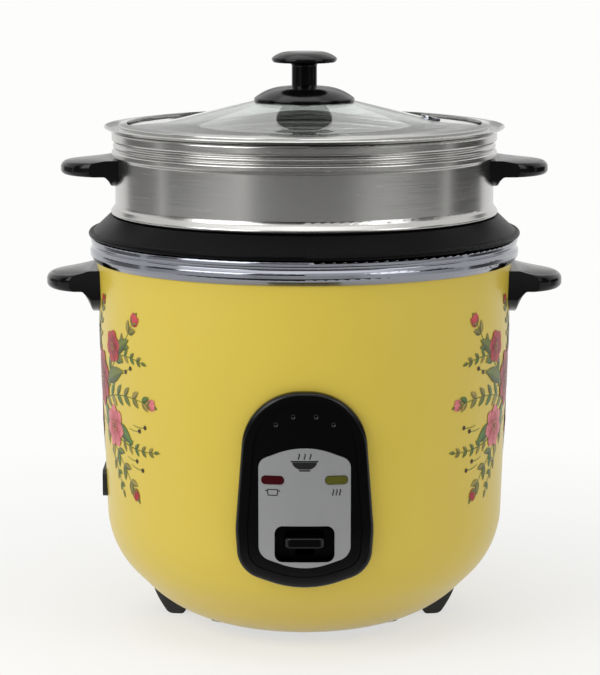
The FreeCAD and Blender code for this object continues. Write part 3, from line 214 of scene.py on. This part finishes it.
def ripple(tree, shader, height, strength, distance):
    bump = add(tree, "ShaderNodeBump", {"Height": height, "Strength": strength, "Distance": distance})
    tree.links.new(bump.outputs["Normal"], shader.inputs["Normal"])


def cloudy(name, color, roughness, change=0.06, spread=0.08, scale=18.0, bump=None, metallic=0.0, **sockets):
    """A moulded, painted or cast finish. bump is (grain, strength, distance)."""
    mat, tree, shader = material(name, metallic, **sockets)
    finish = place_effect(tree, CLOUDY, {"Color": paint(color), "Scale": scale, "Color Change": change,
                                         "Roughness": roughness, "Roughness Change": spread})
    coat(tree, shader, finish)
    if bump:
        finish.inputs["Grain"].default_value = bump[0]
        ripple(tree, shader, finish.outputs["Height"], bump[1], bump[2])
    return mat


def spun_metal(name, color, roughness, spread, change, across=900.0, bump=0.15):
    """Sheet metal that was spun or polished around the cooker's axis."""
    mat, tree, shader = material(name, 1.0)
    finish = place_effect(tree, TURNED, {"Color": paint(color), "Across": across, "Roughness": roughness,
                                         "Roughness Change": spread, "Color Change": change})
    coat(tree, shader, finish)
    ripple(tree, shader, finish.outputs["Height"], bump, SPIN_DEPTH)
    return mat


def coated_pot():
    mat, tree, shader = material("pot_coating_sprayed", Specular_IOR_Level=0.05)
    finish = place_effect(tree, CLOUDY, {"Color": paint("08080A"), "Scale": 14.0, "Color Change": 0.2,
                                         "Roughness": 0.36, "Roughness Change": 0.1})
    specks = place_effect(tree, SPECKLE, {"Color": finish.outputs["Color"], "Speck": paint("25272A")})
    tree.links.new(specks.outputs["Color"], shader.inputs["Base Color"])
    tree.links.new(finish.outputs["Roughness"], shader.inputs["Roughness"])
    ripple(tree, shader, specks.outputs["Height"], 0.08, 0.0001)
    return mat


def clear(name, color, roughness, ior, spread=0.02):
    mat, tree, shader = material(name, 0.0, IOR=ior, Transmission_Weight=1.0)
    finish = place_effect(tree, CLOUDY, {"Color": paint(color), "Scale": 12.0, "Color Change": 0.01,
                                         "Roughness": roughness, "Roughness Change": spread})
    coat(tree, shader, finish)
    return mat


def lens(name, color):
    """Tinted lamp cover with fine ribs that spread the light."""
    mat, tree, shader = material(name, 0.0, IOR=1.49, Transmission_Weight=0.2, Specular_IOR_Level=0.2,
                                 Coat_Weight=0.2, Coat_Roughness=0.05)
    finish = place_effect(tree, CLOUDY, {"Color": paint(color), "Scale": 160.0, "Color Change": 0.25,
                                         "Roughness": 0.18, "Roughness Change": 0.08})
    coat(tree, shader, finish)
    ribs = place_effect(tree, RIBS, {"Count": 330.0})
    ripple(tree, shader, ribs.outputs["Height"], 0.25, 0.0002)
    return mat


def foil_plate():
    """Satin silver plate with fine level lines."""
    mat, tree, shader = material("label_foil_satin", 0.35, Specular_IOR_Level=0.4)
    place = add(tree, "ShaderNodeTexCoord")
    stretch = add(tree, "ShaderNodeMapping",
                  {"Vector": place.outputs["Object"], "Scale": (60.0, 60.0, 4200.0)})
    lines = add(tree, "ShaderNodeTexNoise", {"Vector": stretch.outputs[0], "Scale": 1.0, "Detail": 3.0})
    finish = place_effect(tree, CLOUDY, {"Color": paint("9A9B9C"), "Scale": 30.0, "Color Change": 0.06,
                                         "Roughness": 0.42, "Roughness Change": 0.1})
    level = math_node(tree, "MULTIPLY_ADD", lines.outputs["Fac"], 0.1, 0.95)
    shade = add(tree, "ShaderNodeHueSaturation", {"Color": finish.outputs["Color"], "Value": level})
    tree.links.new(shade.outputs["Color"], shader.inputs["Base Color"])
    tree.links.new(finish.outputs["Roughness"], shader.inputs["Roughness"])
    ripple(tree, shader, lines.outputs["Fac"], 0.06, 0.00005)
    return mat


def printed(name, attribute, roughness):
    """Ink: its colour is in the mesh."""
    mat, tree, shader = material(name, 0.0, Specular_IOR_Level=0.35)
    tint = add(tree, "ShaderNodeVertexColor", layer_name=attribute)
    finish = place_effect(tree, CLOUDY, {"Color": tint.outputs["Color"], "Scale": 260.0, "Color Change": 0.35,
                                         "Roughness": roughness, "Roughness Change": 0.1})
    coat(tree, shader, finish)
    return mat


finishes = {
    "drum_paint": cloudy("drum_enamel", "D0B844", 0.36, 0.05, 0.06, 9.0, (420.0, 0.05, 0.0002),
                         Specular_IOR_Level=0.4, Coat_Weight=0.15, Coat_Roughness=0.12),
    # painted shade: the collar and steam vent get a steel colour darker than polished steel has, which
    # darkens their reflections
    "bright_steel": spun_metal("collar_polish_painted_darker", "8B8D95", 0.12, 0.06, 0.06, 1500.0, 0.05),
    "satin_steel": spun_metal("tray_brushing", "BDBCBA", 0.24, 0.16, 0.12, 1300.0, 0.2),
    "zinc_sheet": cloudy("zinc_sheet", "A9ACAD", 0.42, 0.3, 0.2, 45.0, (160.0, 0.08, 0.0002), 0.95),
    "black_gloss": cloudy("handle_moulding", "060607", 0.17, 0.3, 0.08, 30.0, (700.0, 0.03, 0.0001),
                          Specular_IOR_Level=0.22, Coat_Weight=0.08, Coat_Roughness=0.06),
    "black_matte": cloudy("matte_moulding", "141414", 0.5, 0.3, 0.12, 40.0, (1500.0, 0.25, 0.0002)),
    "pot_coating": coated_pot(),
    "cast_alloy": cloudy("cast_heater", "B9BABA", 0.46, 0.2, 0.2, 60.0, (900.0, 0.2, 0.0003), 0.9),
    "label_foil": foil_plate(),
    "lid_glass": clear("lid_pane", "F4F8F6", 0.012, 1.48),
    "red_lens": lens("red_lamp_cover", "40060F"),
    "amber_lens": lens("green_yellow_lamp_cover", "58581E"),
    "screw_steel": cloudy("screw_plating", "B8B8B6", 0.26, 0.15, 0.15, 220.0, (1400.0, 0.1, 0.0001), 1.0),
    "brass_pins": cloudy("pin_plating", "C9A75A", 0.28, 0.15, 0.15, 200.0, (1200.0, 0.1, 0.0001), 1.0),
    "clear_bulb": clear("bulb_glass", "FFF4E8", 0.02, 1.45),
    "white_insulator": cloudy("insulator", "E4E0D6", 0.5, 0.1, 0.15, 80.0, (900.0, 0.15, 0.0002)),
    "dark_ferrite": cloudy("ferrite_block", "2B2A29", 0.55, 0.3, 0.15, 300.0, (2000.0, 0.3, 0.0002)),
    "seal_rubber": cloudy("washer_rubber", "1C1B1B", 0.6, 0.25, 0.1, 120.0, (1500.0, 0.2, 0.0002)),
}


def dress(cad_node, mat):
    for slot in cad_node.material_slots:
        slot.material = mat


for cad_node in cad_nodes.values():
    slot_name = cad_node.material_slots[0].material.name.split(".")[0]
    dress(cad_node, finishes[slot_name])
# painted highlight: the lid rim gets a lighter copy of the collar's bright steel, so that it shows whiter
dress(cad_nodes["lid_rim"], spun_metal("lid_rim_polish_painted_lighter", "BCBCBA", 0.14, 0.06, 0.06, 1500.0, 0.05))


# Printed pieces that lie on a curved face. Their sizes are in millimetres

DRUM_PRINT_R = 132.0    # turns a length along the drum's wall into an angle
POT_MARK_R = 119.5      # the same for the pot's inner wall
OUTSIDE = 0.3           # metres from the axis, clear of every piece


def skin_of(*names):
    """A ray test against CAD nodes at rest."""
    points, faces = [], []
    for name in names:
        mesh = cad_nodes[name].data
        start = len(points)
        points += [v.co.copy() for v in mesh.vertices]
        faces += [[start + i for i in p.vertices] for p in mesh.polygons]
    return BVHTree.FromPolygons(points, faces)


drum_skin = skin_of("outer_drum")
label_skin = skin_of("panel_label")
pot_skin = skin_of("inner_pot")


def on_drum(side):
    """Places (across, height) on the drum. Across runs from the side towards the front."""
    def place(across, height, lift):
        turn = -across / DRUM_PRINT_R
        way = Vector((side * math.cos(turn), math.sin(turn), 0))
        hit = drum_skin.ray_cast(way * OUTSIDE + Vector((0, 0, height * MM)), -way)
        return hit[0] + hit[1].normalized() * lift * MM
    return place


def on_label(x, z, lift):
    hit = label_skin.ray_cast(Vector((x * MM, -OUTSIDE, z * MM)), Vector((0, 1, 0)))
    return hit[0] + Vector((0, -lift * MM, 0))


def in_pot(across, height, lift):
    """Places on the pot's inner wall, at the back."""
    turn = math.pi / 2 + across / POT_MARK_R
    way = Vector((math.cos(turn), math.sin(turn), 0))
    hit = pot_skin.ray_cast(Vector((0, 0, height * MM)), way)
    return hit[0] - way * lift * MM


class Print:
    """Flat shapes laid on a face, with a colour at each point."""

    def __init__(self, name, place, mat, body, slot):
        self.name, self.place, self.mat, self.body, self.slot = name, place, mat, body, slot
        self.points, self.faces, self.tints = [], [], []

    def band(self, line, half_width, shade, lift, rows=8, cols=4):
        """A strip along line(t), half_width(t) to each side, coloured by shade(t, s)."""
        first = len(self.points)
        for i in range(rows + 1):
            t = i / rows
            here, ahead = Vector(line(max(t - 0.01, 0))), Vector(line(min(t + 0.01, 1)))
            along = (ahead - here).normalized()
            across = Vector((-along.y, along.x))
            middle = Vector(line(t))
            for j in range(cols + 1):
                s = 2 * j / cols - 1
                spot = middle + across * half_width(t) * s
                self.points.append(self.place(spot.x, spot.y, lift))
                self.tints.append(shade(t, s))
        for i in range(rows):
            for j in range(cols):
                a = first + i * (cols + 1) + j
                self.faces.append((a, a + 1, a + cols + 2, a + cols + 1))

    def disc(self, x, y, radius, inner, outer, lift, rings=2, sides=12):
        first = len(self.points)
        self.points.append(self.place(x, y, lift))
        self.tints.append(inner)
        for i in range(1, rings + 1):
            for k in range(sides):
                turn = math.tau * k / sides
                r = radius * i / rings
                self.points.append(self.place(x + r * math.cos(turn), y + r * math.sin(turn), lift))
                self.tints.append(blend(inner, outer, i / rings))
        for k in range(sides):
            n = (k + 1) % sides
            self.faces.append((first, first + 1 + k, first + 1 + n))
            for i in range(1, rings):
                a = first + 1 + (i - 1) * sides
                self.faces.append((a + k, a + sides + k, a + sides + n, a + n))

    def make(self):
        mesh = bpy.data.meshes.new(self.name)
        mesh.from_pydata(self.points, [], self.faces)
        tint = mesh.color_attributes.new("ink", "FLOAT_COLOR", "POINT")
        for i, colour in enumerate(self.tints):
            tint.data[i].color = colour
        mesh.materials.append(self.mat)
        for face in mesh.polygons:
            face.use_smooth = True
        piece = bpy.data.objects.new(self.name, mesh)
        bpy.context.scene.collection.objects.link(piece)
        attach(piece, self.body)
        return piece


def blend(first, second, share):
    return [a + (b - a) * share for a, b in zip(first, second)]


def bow(start, end, bend):
    """A bent line between two points. bend is its height, in parts of its length."""
    start, end = Vector(start), Vector(end)
    along = end - start
    middle = (start + end) / 2 + Vector((-along.y, along.x)) * bend

    def line(t):
        return start * (1 - t) ** 2 + middle * 2 * t * (1 - t) + end * t * t
    return line


drum_ink = printed("drum_print_ink", "ink", 0.36)
label_ink = printed("label_ink", "ink", 0.45)
GREENS = [("2B3A14", "6F7A2E"), ("3A4219", "8C8338"), ("4C4A1E", "A89648"), ("24401C", "5D7C33")]
REDS = [("5C0810", "B81C28"), ("86101E", "D9525A"), ("6C0C16", "C62E38"), ("9A2234", "E8888C")]


def leaf(sheet, base, angle, length, width, pair, lift, bend=0.08):
    turn = math.radians(angle)
    tip = (base[0] + length * math.cos(turn), base[1] + length * math.sin(turn))
    dark, pale = paint(pair[0]), paint(pair[1])

    def shade(t, s):
        vein = 0.45 if abs(s) < 0.08 else 0.0
        side = 0.2 + 0.4 * (s > 0) + 0.3 * t - 0.35 * abs(s) ** 4
        return blend(dark, pale, min(1.0, max(0.0, side + vein)))
    sheet.band(bow(base, tip, bend), lambda t: width / 2 * math.sin(math.pi * t ** 0.8) ** 0.9 + 0.06,
               shade, lift, 10, 6)


def stem(sheet, start, end, bend, lift, width=0.9, color="5B7030"):
    tone = paint(color)
    sheet.band(bow(start, end, bend), lambda t: width / 2 * (1.15 - 0.5 * t), lambda t, s: tone, lift, 18, 2)


def blossom(sheet, x, y, radius, pair, lift, turn, petals=7):
    """An open flower: three rings of petals around a ring of stamens."""
    dark, pale = paint(pair[0]), paint(pair[1])
    for ring, (reach, count) in enumerate(((1.0, petals), (0.72, petals - 1), (0.45, petals - 2))):
        for k in range(count):
            way = math.radians(turn + 23 * ring + 360 * k / count)
            tip = (x + radius * reach * math.cos(way), y + radius * reach * math.sin(way))
            wide = radius * reach * 2.6 / count

            def shade(t, s, ring=ring):
                share = 0.1 + 0.75 * t ** 1.6 - 0.16 * ring - 0.28 * abs(s) ** 3 * t
                return blend(dark, pale, min(1.0, max(0.0, share)))

            def half_width(t, wide=wide):
                return wide * 0.92 * math.sin(math.pi * min(t, 0.999) ** 1.5) ** 0.55 + 0.05
            sheet.band(bow((x, y), tip, 0.05), half_width, shade, lift + 0.07 * ring + 0.006 * k, 8, 6)
    sheet.disc(x, y, radius * 0.16, paint("5A1A12"), paint("8A3A18"), lift + 0.24)
    for k in range(9):
        way = math.tau * k / 9 + turn
        sheet.disc(x + radius * 0.2 * math.cos(way), y + radius * 0.2 * math.sin(way), radius * 0.035,
                   paint("F0D070"), paint("D9A93A"), lift + 0.27, 1, 6)


def bud(sheet, x, y, size, angle, pair, lift):
    dark, pale = paint(pair[0]), paint(pair[1])
    for k, off in enumerate((-20, 20, 0)):
        way = math.radians(angle + off)
        tip = (x + size * math.cos(way), y + size * math.sin(way))
        sheet.band(bow((x, y), tip, 0.0), lambda t: size * 0.3 * math.sin(math.pi * t ** 0.75) ** 0.8 + 0.05,
                   lambda t, s, k=k: blend(dark, pale, 0.2 + 0.5 * t + 0.1 * k - 0.15 * abs(s)),
                   lift + 0.02 * k, 8, 4)
    for off in (-38, 38):
        leaf(sheet, (x, y), angle + off, size * 0.62, size * 0.2, GREENS[1], lift + 0.08)


def sprig(sheet, start, end, bend, leaves, size, lift, tones):
    """A thin twig with pairs of small leaves."""
    stem(sheet, start, end, bend, lift, 0.7)
    line = bow(start, end, bend)
    for k in range(1, leaves + 1):
        t = k / (leaves + 0.6)
        here, ahead = Vector(line(t)), Vector(line(min(t + 0.02, 1)))
        way = math.degrees(math.atan2(ahead.y - here.y, ahead.x - here.x))
        for side in (-1, 1):
            leaf(sheet, here, way + side * (48 - 14 * t), size * (1.1 - 0.4 * t), size * 0.36,
                 GREENS[(k + (side > 0)) % tones], lift + 0.03 + 0.004 * k)
    here = Vector(line(1))
    last = here - Vector(line(0.95))
    way = math.degrees(math.atan2(last.y, last.x))
    leaf(sheet, here, way, size * 0.8, size * 0.3, GREENS[0], lift + 0.05)


# The side spray, in millimetres along the drum's wall and up from the floor
BRANCHES = [  # start, end, bend, pairs of leaves, length of leaf
    ((24, 160), (84, 208), -0.14, 5, 12), ((30, 150), (98, 158), 0.16, 6, 11),
    ((26, 140), (80, 100), 0.14, 5, 12), ((14, 172), (40, 216), 0.1, 4, 10),
    ((-20, 150), (-86, 196), 0.14, 5, 12), ((-26, 146), (-96, 142), -0.12, 6, 11),
    ((-18, 140), (-70, 100), -0.12, 5, 11), ((-8, 168), (-34, 212), -0.1, 4, 10)]
TWIGS = [
    ((58, 184), (92, 184), 0.12, 4, 7), ((60, 132), (102, 128), -0.1, 5, 7), ((46, 122), (64, 98), 0.1, 3, 7),
    ((-58, 176), (-94, 172), -0.12, 4, 7), ((-58, 126), (-98, 116), 0.1, 5, 7)]
BERRIES = [
    (88, 140), (94, 143), (84, 120), (90, 115), (74, 176), (80, 179), (-86, 132), (-92, 128), (-80, 186)]
LEAVES = [  # base, angle, length
    (8, 150, 250, 30), (34, 150, 300, 26), (44, 166, 20, 28), (20, 182, 95, 26),
    (-8, 176, 100, 26), (-34, 164, 150, 28), (-32, 146, 215, 28), (2, 140, 285, 30),
    (58, 140, 335, 24), (60, 186, 30, 22), (-56, 178, 160, 22), (-52, 132, 205, 22)]
BLOSSOMS = [  # middle, radius, tone, turn, petals
    (56, 190, 11, 2, 10, 6), (54, 138, 14, 3, 40, 7), (-50, 180, 13, 1, 25, 7), (-50, 130, 12, 2, 5, 6),
    (26, 166, 20, 0, 15, 8), (-20, 150, 19, 2, 48, 8), (8, 134, 11, 1, 30, 6), (4, 188, 10, 3, 0, 6)]
BUDS = [  # base, size, angle, tone
    (84, 207, 9, 55, 1), (97, 158, 8, 5, 3), (-86, 196, 9, 140, 0), (79, 101, 8, 310, 0),
    (40, 215, 7, 70, 2), (-96, 142, 8, 185, 3)]
BERRY_R = 1.5
LIFT = {  # height of each kind off the wall, so that the upper ones cover the lower ones
    "branch": 0.26, "berry_stalk": 0.28, "twig": 0.3, "berry": 0.34, "leaf": 0.36, "bud": 0.42,
    "blossom": 0.45}


def side_print(name, side):
    sheet = Print(name, on_drum(side), drum_ink, "cooker_base", "drum_paint")
    rand = random.Random(7)
    for start, end, bend, count, size in BRANCHES:
        sprig(sheet, start, end, bend, count, size, LIFT["branch"], 4)
    for start, end, bend, count, size in TWIGS:
        sprig(sheet, start, end, bend, count, size, LIFT["twig"], 4)
    for x, y in BERRIES:
        sheet.disc(x, y, BERRY_R, paint("4A2A14"), paint("2E2410"), LIFT["berry"], 1, 8)
        stem(sheet, (x, y), (x * 0.86, y * 0.93 + 10), 0.12, LIFT["berry_stalk"], 0.45)
    for x, y, angle, length in LEAVES:
        pair = GREENS[rand.randrange(4)]
        leaf(sheet, (x, y), angle, length, length * 0.36, pair, LIFT["leaf"] + rand.random() * 0.05)
    for x, y, radius, tone, turn, petals in BLOSSOMS:
        blossom(sheet, x, y, radius, REDS[tone], LIFT["blossom"], turn, petals)
    for x, y, size, angle, tone in BUDS:
        bud(sheet, x, y, size, angle, REDS[tone], LIFT["bud"])
    return sheet.make()


side_print("flower_print_right", 1)
side_print("flower_print_left", -1)


SIGN_LIFT = 0.09        # ink on the plate
POT_SIGN_X = -19.5      # under the red lamp
AIR_SIGN_X = 19.5       # under the other lamp
SIGN_FOOT_Z = 110.8


def label_signs():
    """Plain signs on the plate: a bowl over the lamps, a pot and warm air under them."""
    sheet = Print("label_signs", on_label, label_ink, "cooker_base", "label_foil")
    ink = paint("1B1B1D")

    def stroke(start, end, bend=0.0, width=0.8):
        sheet.band(bow(start, end, bend), lambda t: width / 2, lambda t, s: ink, SIGN_LIFT, 8, 1)

    def steam(x, z, height):
        stroke((x, z), (x + 0.2, z + height / 2), 0.35, 0.7)
        stroke((x + 0.2, z + height / 2), (x, z + height), -0.35, 0.7)

    sheet.band(bow((0, 131.5), (0, 127.2), 0), lambda t: 7.5 * math.sqrt(max(0.0, 1 - (0.9 * t) ** 2)),
               lambda t, s: ink, SIGN_LIFT, 8, 8)
    stroke((-8.4, 132.1), (8.4, 132.1), 0, 0.9)
    stroke((-3.4, 126.4), (3.4, 126.4), 0, 0.9)
    for x in (-3.5, 0, 3.5):
        steam(x, 133.4, 3.6)
    for end in (-1, 1):
        stroke((POT_SIGN_X + end * 3.2, 114.2), (POT_SIGN_X + end * 2.8, SIGN_FOOT_Z), 0, 0.6)
        stroke((POT_SIGN_X + end * 3.2, 113.6), (POT_SIGN_X + end * 4.6, 113.6), 0, 0.6)
    stroke((POT_SIGN_X - 2.8, SIGN_FOOT_Z), (POT_SIGN_X + 2.8, SIGN_FOOT_Z), 0, 0.6)
    stroke((POT_SIGN_X - 3.4, 114.4), (POT_SIGN_X + 3.4, 114.4), 0, 0.6)
    for off in (-2.1, 0, 2.1):
        steam(AIR_SIGN_X + off, 110.6, 4.0)
    return sheet.make()


label_signs()


MARK_LIFT = 0.25        # paint on the pot's wall
MARK_FOOT_Z = 165       # lowest level line
MARK_STEP = 12


def pot_marks():
    """Level lines on the pot's inner wall."""
    sheet = Print("pot_level_lines", in_pot, label_ink, "pot", "pot_coating")
    pale = paint("8E9296")
    for k in range(7):
        long = 9 if k % 2 == 0 else 5
        height = MARK_FOOT_Z + MARK_STEP * k
        sheet.band(bow((-long / 2, height), (long / 2, height), 0), lambda t: 0.5, lambda t, s: pale,
                   MARK_LIFT, 4, 1)
    upright = bow((0, MARK_FOOT_Z - 2), (0, MARK_FOOT_Z + 6 * MARK_STEP + 2), 0)
    sheet.band(upright, lambda t: 0.35, lambda t, s: pale, MARK_LIFT, 12, 1)
    return sheet.make()


pot_marks()


# Spring under the heat sensor

def pressed_spring():
    """Coils in place of the CAD spring."""
    node = cad_nodes["sensor_spring"]
    coils = bpy.data.objects.new("sensor_spring_coils", node.data.copy())
    coils.matrix_world = node.matrix_world
    bpy.context.scene.collection.objects.link(coils)
    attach(coils, "cooker_base")
    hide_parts("sensor_spring")
    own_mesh(coils)


pressed_spring()


# Studio

UPRIGHT = (math.pi / 2, 0, 0)
SIDEWAYS = (math.pi / 2, 0, math.pi / 2)
FLAT = (0, 0, 0)
FLOOR_HALF = 4.0


def studio_card(name, place, turn, size, color):
    """A plain board that only shows in polished faces."""
    x, y = size[0] / 2, size[1] / 2
    mesh = bpy.data.meshes.new(name)
    mesh.from_pydata([(-x, -y, 0), (x, -y, 0), (x, y, 0), (-x, y, 0)], [], [(0, 1, 2, 3)])
    mat, tree, shader = material(name + "_cloth", 0.0)
    shader.inputs["Base Color"].default_value = paint(color)
    shader.inputs["Roughness"].default_value = 0.9
    mesh.materials.append(mat)
    card = bpy.data.objects.new(name, mesh)
    card.location, card.rotation_euler = place, turn
    card.visible_camera = card.visible_diffuse = card.visible_transmission = card.visible_shadow = False
    bpy.context.scene.collection.objects.link(card)


def backdrop_share(tree):
    """1 where a ray comes from the camera, a polished face or glass."""
    path = add(tree, "ShaderNodeLightPath")
    share = math_node(tree, "MAXIMUM", path.outputs["Is Camera Ray"], path.outputs["Is Glossy Ray"])
    return math_node(tree, "MAXIMUM", share, path.outputs["Is Transmission Ray"])


def make_floor():
    mesh = bpy.data.meshes.new("studio_floor")
    corners = [(-1, -1), (1, -1), (1, 1), (-1, 1)]
    mesh.from_pydata([(x * FLOOR_HALF, y * FLOOR_HALF, 0) for x, y in corners], [], [(0, 1, 2, 3)])
    mat, tree, shader = material("studio_paper", 0.0)
    shader.inputs["Base Color"].default_value = paint("F6F6F4")
    shader.inputs["Roughness"].default_value = 0.8
    glow = add(tree, "ShaderNodeEmission", {"Color": paint("FDFDFC"), "Strength": 1.0})
    place = add(tree, "ShaderNodeNewGeometry")
    reach = add(tree, "ShaderNodeVectorMath", {0: place.outputs["Position"]}, operation="LENGTH")
    away = add(tree, "ShaderNodeMapRange",
               {"Value": reach.outputs["Value"], "From Min": 0.15, "From Max": 0.6,
                "To Min": 0.62, "To Max": 1.0})
    share = math_node(tree, "MULTIPLY", backdrop_share(tree), away.outputs["Result"])
    mix = add(tree, "ShaderNodeMixShader", {0: share, 1: shader.outputs[0], 2: glow.outputs[0]})
    tree.links.new(mix.outputs[0], tree.nodes["Material Output"].inputs["Surface"])
    mesh.materials.append(mat)
    floor = bpy.data.objects.new("studio_floor", mesh)
    bpy.context.scene.collection.objects.link(floor)


def make_world():
    world = bpy.data.worlds.new("studio")
    bpy.context.scene.world = world
    world.use_nodes = True
    tree = world.node_tree
    soft = tree.nodes["Background"]
    soft.inputs["Color"].default_value = paint("FFFFFF")
    soft.inputs["Strength"].default_value = 0.42
    pale = add(tree, "ShaderNodeBackground", {"Color": paint("FDFDFC"), "Strength": 1.0})
    mix = add(tree, "ShaderNodeMixShader", {0: backdrop_share(tree), 1: soft.outputs[0], 2: pale.outputs[0]})
    tree.links.new(mix.outputs[0], tree.nodes["World Output"].inputs["Surface"])


def softbox(name, place, aim, size, power):
    light = bpy.data.lights.new(name, "AREA")
    light.shape, light.size, light.size_y, light.energy = "RECTANGLE", size[0], size[1], power
    lamp = bpy.data.objects.new(name, light)
    lamp.location = place
    lamp.rotation_euler = (Vector(aim) - Vector(place)).to_track_quat("-Z", "Y").to_euler()
    bpy.context.scene.collection.objects.link(lamp)


make_floor()
make_world()
softbox("left_softbox", (-1.25, -1.05, 0.95), (0, 0, 0.2), (1.2, 1.1), 16)
softbox("right_softbox", (1.3, -0.95, 0.9), (0, 0, 0.2), (0.7, 1.1), 6)
softbox("top_softbox", (-0.1, -0.1, 1.6), (0, 0, 0.3), (1.7, 1.4), 8)
studio_card("front_board", (0.2, -2.6, 0.35), UPRIGHT, (4.0, 2.5), "0A0A0A")
studio_card("front_cloth", (0, -0.95, 0.003), FLAT, (1.5, 1.3), "1E1E1E")
studio_card("left_board", (-2.0, -1.3, 0.3), SIDEWAYS, (2.6, 2.2), "5A5A5A")
studio_card("right_board", (2.0, -1.3, 0.3), SIDEWAYS, (2.6, 2.2), "505050")
studio_card("left_flag", (-1.6, 0.75, 0.2), SIDEWAYS, (1.3, 0.6), "909090")
studio_card("right_flag", (1.6, 0.75, 0.2), SIDEWAYS, (1.3, 0.6), "404040")
studio_card("back_board", (0, 2.5, 0.86), UPRIGHT, (1.3, 0.68), "E0E0E0")

# Camera, fitted to the photograph
EYE_PLACE = (-0.0028, -1.700, 0.4609)
EYE_TILT = 0.16         # radians below level
view = bpy.data.cameras.new("photo_view")
view.lens, view.sensor_width = 139.97, 36.0
view.clip_start, view.clip_end = 0.05, 40.0
eye = bpy.data.objects.new("photo_view", view)
eye.location = EYE_PLACE
eye.rotation_euler = (math.pi / 2 - EYE_TILT, 0, 0)
bpy.context.scene.collection.objects.link(eye)
bpy.context.scene.camera = eye
bpy.context.scene.view_settings.view_transform = "Standard"
